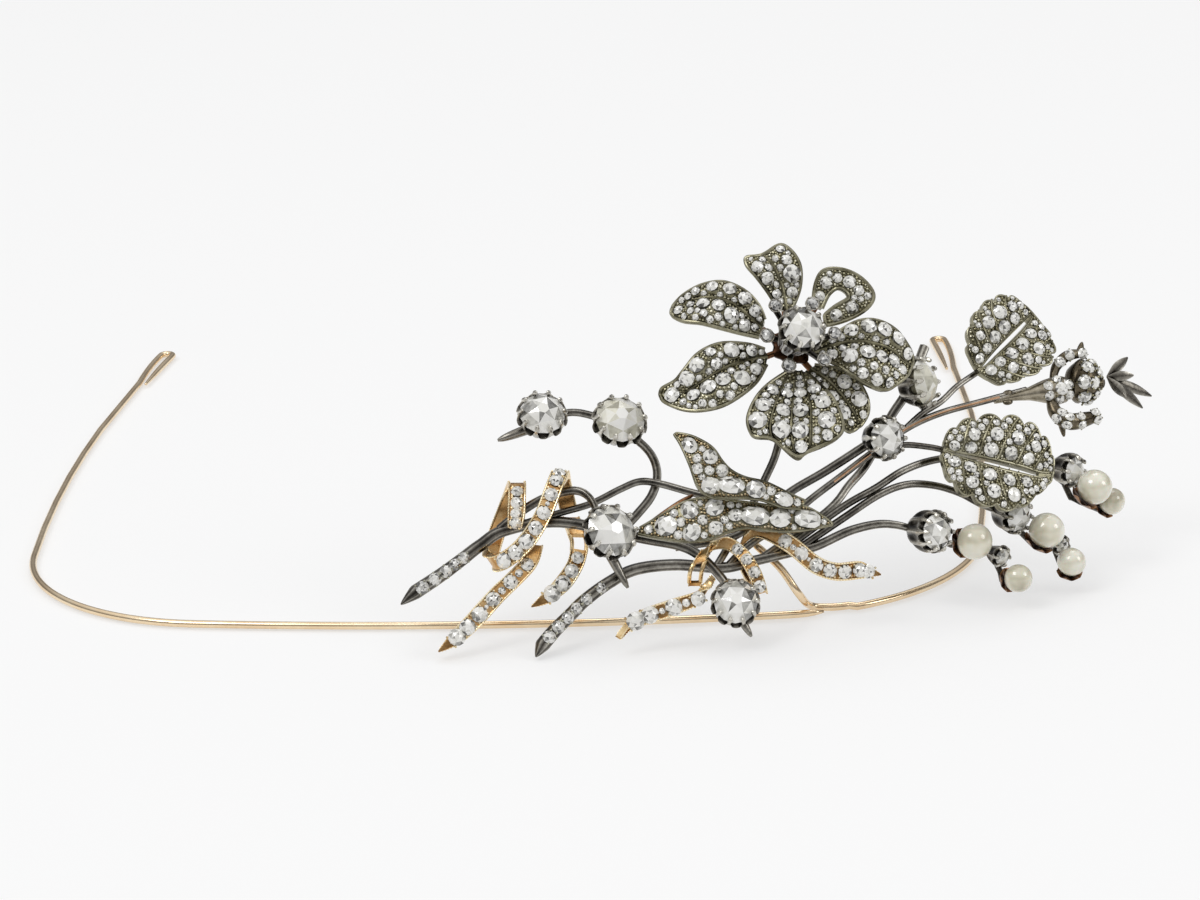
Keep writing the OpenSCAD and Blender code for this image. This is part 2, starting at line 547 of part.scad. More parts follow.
module ribbon_right_stones() {
    gems(concat(
        strip_gems(RIBBON_RIGHT_LOOP, even_gems(0.47, 0.7, 4, 1.3, 1.4)),
        strip_gems(RIBBON_RIGHT_TAIL, even_gems(0.22, 0.76, 4, 1.7, 2), -1),
        strip_gems(RIBBON_RIGHT_UPPER, even_gems(0.26, 0.75, 6, 1.5, 1.5))
    ));
}

// Flower: each petal's ribs run from its base to its tip
PETAL_A = [
    [[[21.9, 17.4], [21.6, 16.3], [21.1, 15.1]], 8.2], [[[21.1, 19.3], [19.7, 18], [18.4, 15.7]], 8.8],
    [[[19.3, 21.2], [17.7, 19.5], [15.7, 16.4]], 9.6], [[[16.5, 22.4], [15.2, 20.3], [13.3, 17]], 9.6],
    [[[13.6, 22], [12.9, 20.1], [11.3, 17.2]], 9], [[[11.2, 20.7], [11.1, 19.4], [10.1, 17.6]], 8.2],
    [[[9.9, 19.4], [9.6, 18.8], [9.5, 18.1]], 7.6]
];
PETAL_B = [
    [[[21.9, 13.4], [22.3, 12.5], [22.1, 11.4]], 8.2], [[[19.6, 14.1], [19.9, 12.1], [20.9, 9.2]], 8.8],
    [[[16, 14.2], [17.2, 11.2], [18.9, 7.4]], 10], [[[13.1, 12.9], [14.8, 9.9], [16.3, 5.9]], 10.4],
    [[[11.3, 10.8], [12.7, 8.5], [13.3, 5.3]], 10.2], [[[10, 9.2], [10.4, 7.3], [10.9, 5.5]], 9.6],
    [[[8.3, 8.4], [8, 7.4], [8.5, 6.4]], 9.2]
];
PETAL_C = [
    [[[24.8, 10.3], [25.4, 10.5], [26.1, 10.6], [26.8, 10.6], [27.4, 10.4]], 8.2],
    [[[22.4, 8.7], [24.2, 8.2], [25.8, 8], [27.5, 8.2], [29.2, 8.8]], 9],
    [[[20.7, 6.8], [23.2, 5.6], [25.6, 5.2], [28, 6], [30.9, 7.1]], 10.4],
    [[[19.7, 4.4], [22.7, 3.4], [25.5, 2.6], [28, 3.4], [32, 4.9]], 11],
    [[[20, 2.6], [22.8, 2.1], [25.8, 0.5], [27.9, 1.2], [32.4, 3.1]], 11],
    [[[20.9, 1.7], [23.1, 1.6], [26.2, -0.9], [27.9, 0], [31.8, 1.4]], 10.8]
];
PETAL_D = [
    [[[28.4, 13.7], [28.5, 13.1], [28.9, 12.4]], 8.2], [[[31.3, 15.4], [31.3, 14], [31.2, 11.7]], 9],
    [[[34.2, 17.1], [34.3, 14.5], [33.6, 10.1]], 9.8], [[[36.8, 17.3], [36.9, 14.1], [35.7, 8.8]], 9.8],
    [[[39.3, 16.1], [38.9, 13.3], [37.9, 8]], 9.2], [[[41, 13.9], [40.4, 11.9], [39.3, 8.7]], 8.4],
    [[[41.7, 12.4], [41.5, 11.2], [40.9, 9.8]], 7.8]
];
PETAL_E = [
    [[[28.4, 19.6], [29, 19.2], [29.6, 18.9]], 8], [[[28.7, 22.1], [29.6, 21.3], [30.4, 20.6]], 8.2],
    [[[29.8, 24], [30.7, 22.8], [31.4, 21.5]], 8.8], [[[32.4, 24.1], [32.4, 22.8], [32.2, 21.5]], 9],
    [[[34.9, 22.9], [33.9, 21.9], [32.9, 21]], 9], [[[36.5, 20.8], [34.8, 20.6], [33.1, 20.4]], 8.8],
    [[[35.7, 19], [34.2, 19.5], [32.7, 20]], 8.6], [[[33.3, 17.5], [32.4, 18.4], [31.5, 19.3]], 8.2],
    [[[30.2, 16.4], [30, 17.3], [29.9, 18.2]], 8]
];
PETAL_F = [
    [[[23.8, 18.9], [24.8, 18.6], [25.6, 19]], 8.2], [[[22.4, 21.1], [24.4, 21.2], [26.6, 21.6]], 8.6],
    [[[20.9, 23.1], [23.6, 23.6], [26.7, 24.3]], 9.2], [[[19.6, 24.6], [22.6, 25.2], [25.8, 26.2]], 9.2],
    [[[19.3, 25.8], [21.6, 26], [24.1, 27.7]], 8.8]
];
PETAL_G = [
    [[[28.6, 11.3], [28, 10.8], [27.5, 10.2]], 6.2], [[[31.3, 10.9], [30.3, 9.3], [29, 7.7]], 6.7],
    [[[34, 9.5], [32.2, 7.3], [30.2, 5.6]], 7], [[[35.5, 7.2], [33.6, 5.3], [31.5, 4]], 7.2],
    [[[35.7, 5.1], [34.2, 4], [32.5, 3]], 7], [[[34.9, 3.5], [34.2, 2.9], [33.3, 2.4]], 6.8]
];
FOLD = [0, 0.2, -0.04, 0.2, 0];
TRIPLE_FOLD = [0, 0.12, 0.04, 0.12, 0.02, 0.12, 0.04, 0.12, 0];
HOLLOW = [0.05, 0.1, 0.05];
wide_cuts = [for (k = [-4:4]) k / 4];
module petal(ribs, relief, rows = 8, across = [-1, -0.5, 0, 0.5, 1]) {
    color("darkgray") plate(ribs, relief, rows, across);
}
module petal_a() {
    petal(PETAL_A, FOLD);
}
module petal_b() {
    petal(PETAL_B, FOLD);
}
module petal_c() {
    petal(PETAL_C, TRIPLE_FOLD, 7, wide_cuts);
}
module petal_d() {
    petal(PETAL_D, FOLD);
}
module petal_e() {
    petal(PETAL_E, HOLLOW, 13, [-1, 0, 1]);
}
module petal_f() {
    petal(PETAL_F, FOLD);
}
module petal_g() {
    petal(PETAL_G, FOLD);
}
module petal_a_stones() {
    gems(plate_gems(PETAL_A, FOLD, [[0.15, [-0.5, 0.5], 1.3], [0.29, [-0.55, 0.4], 1.7],
        [0.43, [-0.6, 0.25, 0.74], 1.7], [0.57, [-0.6, 0.25, 0.74], 1.6],
        [0.71, [-0.58, 0.22, 0.72], 1.45], [0.86, [-0.5, 0.4], 1.4]]));
}
module petal_b_stones() {
    gems(plate_gems(PETAL_B, FOLD, [[0.14, [-0.5, 0.5], 1.4], [0.28, [-0.55, 0.5], 1.8],
        [0.42, [-0.72, -0.27, 0.28, 0.74], 1.6], [0.56, [-0.6, 0.27, 0.75], 1.8],
        [0.7, [-0.5, 0.3, 0.76], 1.7], [0.88, [0], 2.8, 0.4]]));
}
module petal_c_stones() {
    gems(plate_gems(PETAL_C, TRIPLE_FOLD, [[0.24, [-0.72, -0.25, 0.25, 0.72], 1.3], [0.4, [-0.25], 1.5],
        [0.42, [-0.75, 0.25, 0.75], 1.6], [0.59, [-0.75], 2.1], [0.61, [-0.25], 2.9, 0.1],
        [0.62, [0.25, 0.75], 1.8], [0.83, [-0.75, 0.25, 0.75], 1.6], [0.88, [-0.25], 1.5]]));
}
module petal_d_stones() {
    gems(plate_gems(PETAL_D, FOLD, [[0.15, [-0.5, 0.5], 1.3], [0.29, [-0.55, 0.45], 1.7],
        [0.43, [-0.6, 0.26, 0.74], 1.7], [0.57, [-0.6, 0.26, 0.74], 1.8],
        [0.71, [-0.6, 0.24, 0.74], 1.8], [0.86, [-0.5, 0.34], 1.5]]));
}
module petal_e_stones() {
    gems(plate_gems(PETAL_E, HOLLOW, [for (k = [0:7]) [0.08 + 0.12 * k, [0], k == 4 || k == 5 ? 1.05 : 1.3]]));
}
module petal_f_stones() {
    gems(plate_gems(PETAL_F, FOLD, [[0.22, [-0.45, 0.5], 1.4], [0.45, [-0.5, 0.54], 1.8],
        [0.67, [-0.56, 0.54], 1.75], [0.9, [-0.6, 0.66], 1.55]]));
}
module petal_g_stones() {
    gems(plate_gems(PETAL_G, FOLD, [[0.34, [-0.5, 0.4], 1.5], [0.56, [-0.52, 0.4], 1.7],
        [0.78, [-0.5, 0.4], 1.5]]));
}

// The hub and its arms, which carry the petals from behind
hub_place = [25.4, 13.7, 5];
hub_t = 0.9;
arm_d = 0.9;
module flower_back() {
    color("rosybrown") union() {
        stand_at(at(hub_place), facing(FLOWER[3])) cylinder(h = hub_t, d = 6.5, $fn = 10);
        for (ribs = [PETAL_A, PETAL_B, PETAL_C, PETAL_D, PETAL_F, PETAL_G])
            arm(ribs, FOLD, 0.14);
        arm(PETAL_E, HOLLOW, 0.05);
        arm(PETAL_E, HOLLOW, 0.95);
    }
}
module arm(ribs, relief, share) {
    reach = plate_t + arm_d / 2 + fit_gap * 2;
    hull() {
        translate(at(hub_place)) sphere(d = arm_d, $fn = 5);
        translate(plate_at(ribs, relief, share, 0) - plate_normal(ribs, relief, share, 0) * reach)
            sphere(d = arm_d, $fn = 5);
    }
}
// Stamens: [right, up, lift, diameter] of each small stone
STAMENS = [[23.4, 19.3, 12.4, 1.5], [28.3, 19.6, 12.8, 1.5], [31.3, 15.6, 12.6, 1.5], [29.9, 12.1, 12.6, 1.5],
    [25.2, 11.3, 12.6, 1.6], [22.3, 15.3, 12.4, 1.6]];
post_d = 0.7;
stamen_cup = 0.8;
module flower_collet() {
    n = facing(FLOWER[3]);
    foot = at(hub_place) + n * (hub_t + post_d / 2 + fit_gap);
    color("dimgray") union() {
        collet(FLOWER);
        hull() {
            translate(foot_of(FLOWER) + n * 0.5) sphere(d = 2.2, $fn = 8);
            stand_at(foot - n * post_d / 2, n) cylinder(h = 0.5, d = 1.8, $fn = 8);
        }
        for (s = STAMENS) {
            top = at([s[0], s[1], s[2]]);
            hull() {
                translate(foot) sphere(d = post_d, $fn = 5);
                translate(top - n * stamen_cup) sphere(d = post_d, $fn = 5);
            }
            stand_at(top - n * (stamen_cup + 0.2), n)
                cylinder(h = stamen_cup - 0.1, d1 = post_d, d2 = (s[3] + 0.4) * unit_len, $fn = 8);
        }
    }
}
module flower_stone() {
    cut_stone(FLOWER);
}
module stamen_stones() {
    gems([for (s = STAMENS) [at([s[0], s[1], s[2]]), facing(FLOWER[3]), s[3] * unit_len]]);
}

// Serrated leaves with an open slit along the midrib
LEAF_UPPER = [
    [[[50, 11.2], [50.4, 10.6], [50.7, 10.2]], 1.9], [[[49, 13.4], [51.5, 11.6], [53.4, 8.8]], 2.4],
    [[[49.1, 16.3], [52.9, 13.1], [56.1, 9.4]], 2.8], [[[50.3, 18.8], [54.4, 14.6], [59, 10.7]], 3],
    [[[52.4, 20.4], [55.9, 16.1], [60.7, 12.6]], 3], [[[54.7, 20.6], [57.1, 17.4], [60.1, 15.2]], 2.6],
    [[[56.6, 19.3], [57.7, 18.2], [58.8, 16.8]], 2.2]
];
LEAF_LOWER = [
    [[[45.9, 0.7], [45.8, 0], [45.6, -0.7]], 4], [[[46.6, 2.6], [47.6, -0.5], [46.4, -3.6]], 4.8],
    [[[49.2, 4.3], [50.4, -1.2], [48.7, -6.1]], 5.4], [[[53.1, 4.8], [53.5, -2], [52.4, -7.8]], 5.6],
    [[[56.8, 4.1], [56.3, -2.7], [55.8, -7.9]], 5.4], [[[59.3, 1.9], [58.7, -3.3], [58.5, -5.8]], 5],
    [[[60.5, -0.9], [60.4, -3.1], [60, -4.4]], 4.6]
];
LEAF_CREST = [0, 0.1, -0.06, 0.1, 0];
leaf_cuts = [-1, -0.5, -0.045, 0.045, 0.5, 1];
module leaf(ribs) {
    color("gray") plate(ribs, LEAF_CREST, 12, leaf_cuts, [2, 1, 9], 0.06);
}
module leaf_upper() {
    leaf(LEAF_UPPER);
}
module leaf_lower() {
    leaf(LEAF_LOWER);
}
// Stones stand in rows along the side veins: [share along, number on each side, diameter]
leaf_rows = [[0.16, 2, 1.2], [0.29, 3, 1.25], [0.43, 3, 1.4], [0.57, 3, 1.4], [0.71, 3, 1.05], [0.87, 1, 1.2]];
function leaf_gems(ribs, sweep) = [
    for (r = leaf_rows, side = [-1, 1], k = [0:r[1] - 1])
        let (s = side * (0.12 + 0.84 * (k + 0.5) / r[1]), t = r[0] + sweep * k)
        [plate_at(ribs, LEAF_CREST, t, s), plate_normal(ribs, LEAF_CREST, t, s), r[2] * unit_len]
];
module leaf_upper_stones() {
    gems(leaf_gems(LEAF_UPPER, 0.06));
}
module leaf_lower_stones() {
    gems(leaf_gems(LEAF_LOWER, 0.05));
}

// Curled leaves over the crossing of the stems
CURL_UPPER = [
    [[[26.6, -7.8], [27.1, -7.3], [27.4, -6.8]], 5.4], [[[24.4, -7.6], [24.8, -6.7], [25.2, -5.8]], 6],
    [[[21.3, -6.6], [21.7, -5.5], [22.1, -4.3]], 6.4], [[[18, -6.4], [18.8, -4.9], [19.5, -3.7]], 6.6],
    [[[15.4, -6.4], [16.4, -4.4], [17.6, -2.8]], 6.6], [[[13.2, -5.2], [14.7, -2.9], [16.3, -1.5]], 7],
    [[[11.9, -1.9], [13.2, -0.7], [14.9, 0.4]], 7.4], [[[10.8, 0.6], [11.6, 1.1], [12.4, 1.8]], 7.2],
    [[[9.9, 2], [10, 2.1], [10.3, 2.3]], 6.8]
];
CURL_LOWER = [
    [[[5.1, -11.2], [5.1, -10.8], [5.3, -10.4]], 3], [[[8, -11.8], [8, -10.3], [8, -8.8]], 3.8],
    [[[11.2, -12.2], [11.1, -9.7], [10.8, -7.1]], 4.2], [[[14.3, -12], [14.1, -9.3], [13.7, -6.4]], 4.4],
    [[[16.9, -11], [17.1, -8.8], [17.1, -6.7]], 4.4], [[[19.6, -10.4], [19.7, -8.7], [19.9, -7]], 4.4],
    [[[22.9, -10.8], [22.9, -9.1], [22.9, -7.4]], 4.4], [[[26.3, -10.8], [26.5, -9.1], [26.8, -7.4]], 4.2],
    [[[28.8, -10.4], [29.1, -9.5], [29.2, -8.5]], 3.8], [[[30.8, -10], [30.9, -9.9], [30.8, -9.6]], 3.4]
];
CURL = [0.1, 0.14, 0.2, 0.14, 0.1];
module curl_upper() {
    color("gray") plate(CURL_UPPER, CURL, 11);
}
module curl_lower() {
    color("gray") plate(CURL_LOWER, CURL, 11);
}
module curl_upper_stones() {
    gems(plate_gems(CURL_UPPER, CURL, [[0.14, [0], 1.7], [0.29, [0], 2.4], [0.44, [0], 2],
        [0.57, [-0.45, 0.5], 1.8], [0.7, [-0.5, 0.45], 2.1], [0.84, [-0.1], 2]]));
}
module curl_lower_stones() {
    gems(plate_gems(CURL_LOWER, CURL, [[0.14, [0], 2.2], [0.26, [-0.48, 0.48], 2], [0.38, [-0.48, 0.48], 2],
        [0.485, [0], 1.9], [0.59, [0], 2.5], [0.7, [0], 2.1], [0.82, [0], 2.5]]));
}

// Bud: a calyx with two lobes, a domed berry set with stones and five small pointed leaves
bud_foot = [57.6, 8.3, 1];
bud_mouth = [61.2, 8.4, 1.4];
bud_facing = facing([0.93, -0.1, 0.35]);
berry_place = [64, 9.2, 1.4];
berry_d = 6.2;
bud_end = [67.6, 9.8, 1.2];
BUD_LOBES = [[[62, 12.2, 1.6], [65.2, 12.8, 2]], [[62.4, 5.2, 1.8], [66.6, 3.6, 2.2]],
    [[60.6, 6, 3.4], [62.4, 7.8, 4.2]]];
BUD_PRONGS = [[[63.6, 12.8, 1.8], [64.2, 14.4, 2]], [[61.8, 5, 1.6], [62.2, 1.6, 1.8]]];
BUD_LEAVES = [[70.4, 12.4, 1.6], [71.2, 10, 2.6], [73.6, 7.2, 1.4], [70.2, 7, 3], [72.4, 5.6, 0.6]];
berry_gap = 0.3;
module bud_calyx() {
    color("dimgray") difference() {
        union() {
            hull() {
                translate(at(bud_foot)) sphere(d = stem_d, $fn = 6);
                stand_at(at(bud_mouth), bud_facing) cylinder(h = 0.4, d = 3.4, $fn = 8);
            }
            for (lobe = BUD_LOBES)
                hull() {
                    translate(at(bud_mouth)) sphere(d = 1.2, $fn = 6);
                    translate(at(lobe[0])) sphere(d = 1.8, $fn = 6);
                    translate(at(lobe[1])) sphere(d = 1, $fn = 6);
                }
            for (prong = BUD_PRONGS)
                spike(at(prong[0]), at(prong[1]), 1);
        }
        translate(at(berry_place)) sphere(d = berry_d + berry_gap * 2, $fn = 16);
    }
}
module bud_berry() {
    color("gray") stand_at(at(berry_place), bud_facing) union() {
        difference() {
            sphere(d = berry_d, $fn = 20);
            translate([0, 0, -berry_d * 1.2]) cube(berry_d * 2, center = true);
        }
        translate([0, 0, -berry_d * 0.32]) cylinder(h = berry_d * 0.3, d = berry_d * 0.5, $fn = 20);
        cylinder(h = berry_d * 0.6, d = 1.2, $fn = 20);
    }
}
module bud_tip() {
    color("dimgray") union() {
        for (tip = BUD_LEAVES)
            hull() {
                translate(at(bud_end)) sphere(d = 0.8, $fn = 5);
                translate(mix(at(bud_end), at(tip), 0.5)) sphere(d = 1.3, $fn = 5);
                translate(at(tip)) sphere(d = 0.3, $fn = 4);
            }
    }
}
function berry_gem(rise, turn) =
    let (
        a = side_of(bud_facing),
        b = cross(bud_facing, a),
        n = unit(bud_facing * sin(rise) + cos(rise) * (cos(turn) * a + sin(turn) * b))
    )
    [at(berry_place) + n * berry_d / 2, n, 1.6 * unit_len];
module bud_stones() {
    gems([for (k = [0:6]) berry_gem(26, 360 * (k + 0.5) / 7), for (k = [0:3]) berry_gem(58, 90 * k)]);
}

// The origin is the middle of the whole box, on the surface that the band lies on
bud_reach = at(BUD_LEAVES[2]);
right_reach = bud_reach[0] + 0.15;
left_reach = band_w / 2 + wire_d / 2;
front_tip = at(low_point);
front_reach = 0.2 - front_tip[1];
middle_x = (right_reach - left_reach) / 2;
middle_y = (band_d + wire_d / 2 + eyelet_w / 2 - front_reach) / 2;
module place() {
    translate([-middle_x, -middle_y, 0]) children();
}

place() wire_left();
place() wire_right();
place() ribbon_left_loop();
place() ribbon_left_tail();
place() ribbon_left_short();
place() ribbon_left_stones();
place() ribbon_right_loop();
place() ribbon_right_tail();
place() ribbon_right_upper();
place() ribbon_right_stones();
place() stems();
place() stem_stones();
place() petal_a();
place() petal_b();
place() petal_c();
place() petal_d();
place() petal_e();
place() petal_f();
place() petal_g();
place() petal_a_stones();
place() petal_b_stones();
place() petal_c_stones();
place() petal_d_stones();
place() petal_e_stones();
place() petal_f_stones();
place() petal_g_stones();
place() flower_back();
place() flower_collet();
place() flower_stone();
place() stamen_stones();
place() leaf_upper();
place() leaf_upper_stones();
place() leaf_lower();
place() leaf_lower_stones();
place() curl_upper();
place() curl_upper_stones();
place() curl_lower();
place() curl_lower_stones();
place() bud_calyx();
place() bud_berry();
place() bud_tip();
place() bud_stones();
place() cut_stone(SETTINGS[0]);  // stone_1
place() cut_stone(SETTINGS[1]);  // stone_2
place() cut_stone(SETTINGS[2]);  // stone_3
place() cut_stone(SETTINGS[3]);  // stone_4
place() cut_stone(SETTINGS[4]);  // stone_5
place() cut_stone(SETTINGS[5]);  // stone_6
place() cut_stone(SETTINGS[6]);  // stone_7
place() cut_stone(SETTINGS[7]);  // stone_8
place() cut_stone(SETTINGS[8]);  // stone_9
place() cut_stone(SETTINGS[9]);  // stone_10
place() cut_stone(SETTINGS[10]);  // stone_11
place() pearl(PEARLS[0]);  // pearl_1
place() pearl(PEARLS[1]);  // pearl_2
place() pearl(PEARLS[2]);  // pearl_3
place() pearl(PEARLS[3]);  // pearl_4
place() pearl(PEARLS[4]);  // pearl_5
place() pearl(PEARLS[5]);  // pearl_6
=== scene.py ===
"""Looks of the diadem: a gold wire head band with a jewelled spray of flower, leaves, bud and pearls.

Lengths are millimetres in the layout's own frame until piece() brings them to the row frame in metres."""

import math
import random

import bmesh
import bpy
import numpy as np
from mathutils import Matrix, Vector


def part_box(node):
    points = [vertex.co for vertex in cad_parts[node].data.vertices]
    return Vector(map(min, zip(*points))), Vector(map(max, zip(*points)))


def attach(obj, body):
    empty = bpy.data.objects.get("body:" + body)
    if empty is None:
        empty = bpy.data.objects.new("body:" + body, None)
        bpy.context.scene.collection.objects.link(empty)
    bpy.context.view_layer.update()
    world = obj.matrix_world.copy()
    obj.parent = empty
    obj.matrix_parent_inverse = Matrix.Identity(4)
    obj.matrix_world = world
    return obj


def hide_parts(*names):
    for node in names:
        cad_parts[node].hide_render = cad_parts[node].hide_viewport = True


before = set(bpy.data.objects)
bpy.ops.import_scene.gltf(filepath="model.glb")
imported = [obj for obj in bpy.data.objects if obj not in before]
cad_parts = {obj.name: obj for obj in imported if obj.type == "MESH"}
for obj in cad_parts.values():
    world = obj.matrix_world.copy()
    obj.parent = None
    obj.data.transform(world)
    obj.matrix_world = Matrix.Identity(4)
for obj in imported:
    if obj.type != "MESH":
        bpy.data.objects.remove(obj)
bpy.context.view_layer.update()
rng = random.Random(7)

# Sizes, as in the part
BAND_W, BAND_D, CORNER_R, WIRE_D = 143.6, 132.0, 32.0, 1.1
EYELET_LEN, EYELET_W = 16.0, 2.1
SPRAY_W, SPRAY_RIGHT, SPRAY_BACK = 107.0, 16.0, 17.0
PLATE_T, STEM_D, TRUNK_D = 1.0, 1.0, 1.9
COLLET_WALL, RIBBON_W, RIBBON_T, FIT_GAP = 0.35, 2.5, 0.9, 0.12
FACE_TURN, FACE_RISE, FACE_ROLL, VIEW_DIST = 4.0, 18.5, -2.3, 556.0
SPRAY_UP = 0.191 * SPRAY_W
SURFACE_FRONT, SURFACE_LEAN, SURFACE_TURN, SURFACE_WRAP, WRAP_FROM = 9.2, 0.3, 0.06, 0.0046, 10.0
UNIT = SPRAY_W / 100
MM = 0.001


def sind(a):
    return math.sin(math.radians(a))


def cosd(a):
    return math.cos(math.radians(a))


def vec(*values):
    return np.array(values, float)


def unit(v):
    return v / np.maximum(np.linalg.norm(v, axis=-1, keepdims=True), 1e-12)


LEVEL_RIGHT = vec(cosd(FACE_TURN), sind(FACE_TURN), 0)
OUT = vec(sind(FACE_TURN) * cosd(FACE_RISE), -cosd(FACE_TURN) * cosd(FACE_RISE), sind(FACE_RISE))
LEVEL_UP = np.cross(OUT, LEVEL_RIGHT)
RIGHT = cosd(FACE_ROLL) * LEVEL_RIGHT + sind(FACE_ROLL) * LEVEL_UP
UP = cosd(FACE_ROLL) * LEVEL_UP - sind(FACE_ROLL) * LEVEL_RIGHT
SPRAY_MID = vec(SPRAY_RIGHT, SPRAY_BACK, SPRAY_UP)


def spline(a, b, c, d, t):
    return 0.5 * (2 * b + (c - a) * t + (2 * a - 5 * b + 4 * c - d) * t * t + (3 * b - a - 3 * c + d) * t**3)


def along(rows, t):
    """Smooth values along a list, at shares t of it."""
    rows, t = np.asarray(rows, float), np.asarray(t, float)
    last = len(rows) - 1
    f = np.clip(t, 0, 0.99999) * last
    i = f.astype(int)
    f = (f - i).reshape(t.shape + (1,) * (rows.ndim - 1))
    return spline(rows[np.maximum(i - 1, 0)], rows[i], rows[i + 1], rows[np.minimum(i + 2, last)], f)


def across(points, s):
    """Smooth points across lists of points, at s from -1 to 1."""
    last = points.shape[-2] - 1
    f = np.clip((s + 1) / 2, 0, 0.99999) * last
    i = f.astype(int)

    def pick(k):
        return np.take_along_axis(points, np.clip(k, 0, last)[..., None, None], axis=-2)[..., 0, :]

    return spline(pick(i - 1), pick(i), pick(i + 1), pick(i + 2), (f - i)[..., None])


def at(p):
    """A layout point [right, up, lift], in percent of the spray's size, as a place on the real spray."""
    p = np.asarray(p, float)
    u, v, lift = p[..., 0], p[..., 1], p[..., 2]
    depth = SURFACE_FRONT - SURFACE_LEAN * v + SURFACE_TURN * u
    depth = (depth - SURFACE_WRAP * np.maximum(u - WRAP_FROM, 0) ** 2 + lift) * UNIT
    s = UNIT * (1 - depth / VIEW_DIST)
    return SPRAY_MID + RIGHT * (u * s)[..., None] + UP * (v * s)[..., None] + OUT * depth[..., None]


def on(places, t):
    """Points of the spray at shares t of a list of places."""
    return at(along(places, t))


def facing(n):
    return unit(RIGHT * n[0] + UP * n[1] + OUT * n[2])


def cross_of(n):
    """Two directions across a normal."""
    a = unit(np.cross(UP, n))
    return a, np.cross(n, a)


def around(n, turn):
    """Directions at some turns round a normal."""
    a, b = cross_of(n)
    return np.cos(turn)[:, None] * a + np.sin(turn)[:, None] * b


def turns(steps):
    return math.tau * np.arange(steps) / steps


def front_of(run):
    """The direction square to a run that looks most forwards."""
    return unit(OUT - run * (OUT @ run))


def bowed(start, end, share, rise=0.0, way=OUT):
    """Points from start to end that bow out on the way."""
    return start + np.outer(share, end - start) + np.outer(np.sin(share * math.pi), way) * rise


# Head band, as in the part
FRONT_TURN, CORNER_TURN, SIDE_TURN = 5.7, 79.5, 13.5
TURN_B = FRONT_TURN + CORNER_TURN
TURN_C = TURN_B + SIDE_TURN
NEED_W = BAND_W / 2 - CORNER_R * (sind(TURN_B) - sind(FRONT_TURN))
NEED_D = BAND_D - CORNER_R * (cosd(FRONT_TURN) - cosd(TURN_B))
SIDE_W, SIDE_D = 1 - sind(TURN_B), cosd(TURN_B) - cosd(TURN_C)
FRONT_W, FRONT_D = sind(FRONT_TURN), 1 - cosd(FRONT_TURN)
SPREAD = FRONT_W * SIDE_D - SIDE_W * FRONT_D
FRONT_R = (NEED_W * SIDE_D - SIDE_W * NEED_D) / SPREAD
SIDE_R = (FRONT_W * NEED_D - FRONT_D * NEED_W) / SPREAD
EYELET_TURN = math.degrees(EYELET_LEN / SIDE_R)
EYELET_CLOSE = WIRE_D + FIT_GAP


def arc_step(r, start, end):
    return r * vec(sind(end) - sind(start), cosd(start) - cosd(end), 0)


def band_at(turn):
    a, b, c = min(turn, FRONT_TURN), min(max(turn, FRONT_TURN), TURN_B), max(turn, TURN_B)
    arcs = arc_step(FRONT_R, 0, a) + arc_step(CORNER_R, FRONT_TURN, b) + arc_step(SIDE_R, TURN_B, c)
    return arcs + vec(0, 0, WIRE_D / 2)


def band_in(turn):
    return vec(-sind(turn), cosd(turn), 0)


def band(start, end, steps):
    return [band_at(t) for t in span(start, end, steps)]


def eyelet_at(share, aside):
    return band_at(TURN_C - EYELET_TURN * (1 - share)) + band_in(TURN_C) * aside


def span(start, end, steps):
    return [start + (end - start) * k / steps for k in range(steps + 1)]


EYELET_R = EYELET_W / 2
EYELET_PATH = [eyelet_at(t, EYELET_CLOSE + (EYELET_R - EYELET_CLOSE) * t) for t in span(0, 1, 8)]
EYELET_PATH += [eyelet_at(1, EYELET_R * cosd(a)) + vec(cosd(TURN_C), sind(TURN_C), 0) * EYELET_R * sind(a)
                for a in range(15, 180, 15)]
EYELET_PATH += [eyelet_at(t, -EYELET_R * sind(90 * t)) for t in span(1, 0, 8)]
CORNER_START = TURN_B + 8
LEFT_JOINT, LEFT_END, SUPPORT_TURN = 19.0, 16.5, 24.0
LEFT_PATH = EYELET_PATH + band(CORNER_START, TURN_B, 5)[:-1] + band(TURN_B, FRONT_TURN, 40)
LEFT_PATH = [p * vec(-1, 1, 1) for p in LEFT_PATH]
LEFT_PATH += band(-FRONT_TURN, FRONT_TURN, 16)[1:] + band(FRONT_TURN, LEFT_END, 5)[1:]
# The right wire leaves the band and rises behind the stems
SUPPORT_SIDE = band_in(LEFT_JOINT) * (WIRE_D + FIT_GAP * 2)
SUPPORT = [
    band_at(SUPPORT_TURN) + SUPPORT_SIDE * 0.6,
    band_at(LEFT_JOINT) + SUPPORT_SIDE,
    band_at(LEFT_JOINT - 5) + SUPPORT_SIDE * 1.15 + vec(0, 0, 0.5),
    at([26.5, -19.2, -3.6]), at([23.9, -15.6, -2.8]), at([20.2, -12.2, -2.4]),
]
RIGHT_PATH = EYELET_PATH + band(CORNER_START, TURN_B, 5)[:-1]
RIGHT_PATH += [band_at(t) for t in span(TURN_B, FRONT_TURN, 40) if t > SUPPORT_TURN]
RIGHT_PATH += list(along(SUPPORT, span(0, 1, 40)))


# Materials
def principled(name, **sockets):
    """A material, its nodes and its shader, with values for the shader's sockets."""
    mat = bpy.data.materials.new(name)
    mat.use_nodes = True
    shader = mat.node_tree.nodes["Principled BSDF"]
    for key, value in sockets.items():
        shader.inputs[key.replace("_", " ")].default_value = value
    return mat, mat.node_tree, shader


def node(tree, kind, values=(), **settings):
    made = tree.nodes.new(kind)
    for key, value in settings.items():
        setattr(made, key, value)
    for key, value in dict(values).items():
        made.inputs[key].default_value = value
    return made


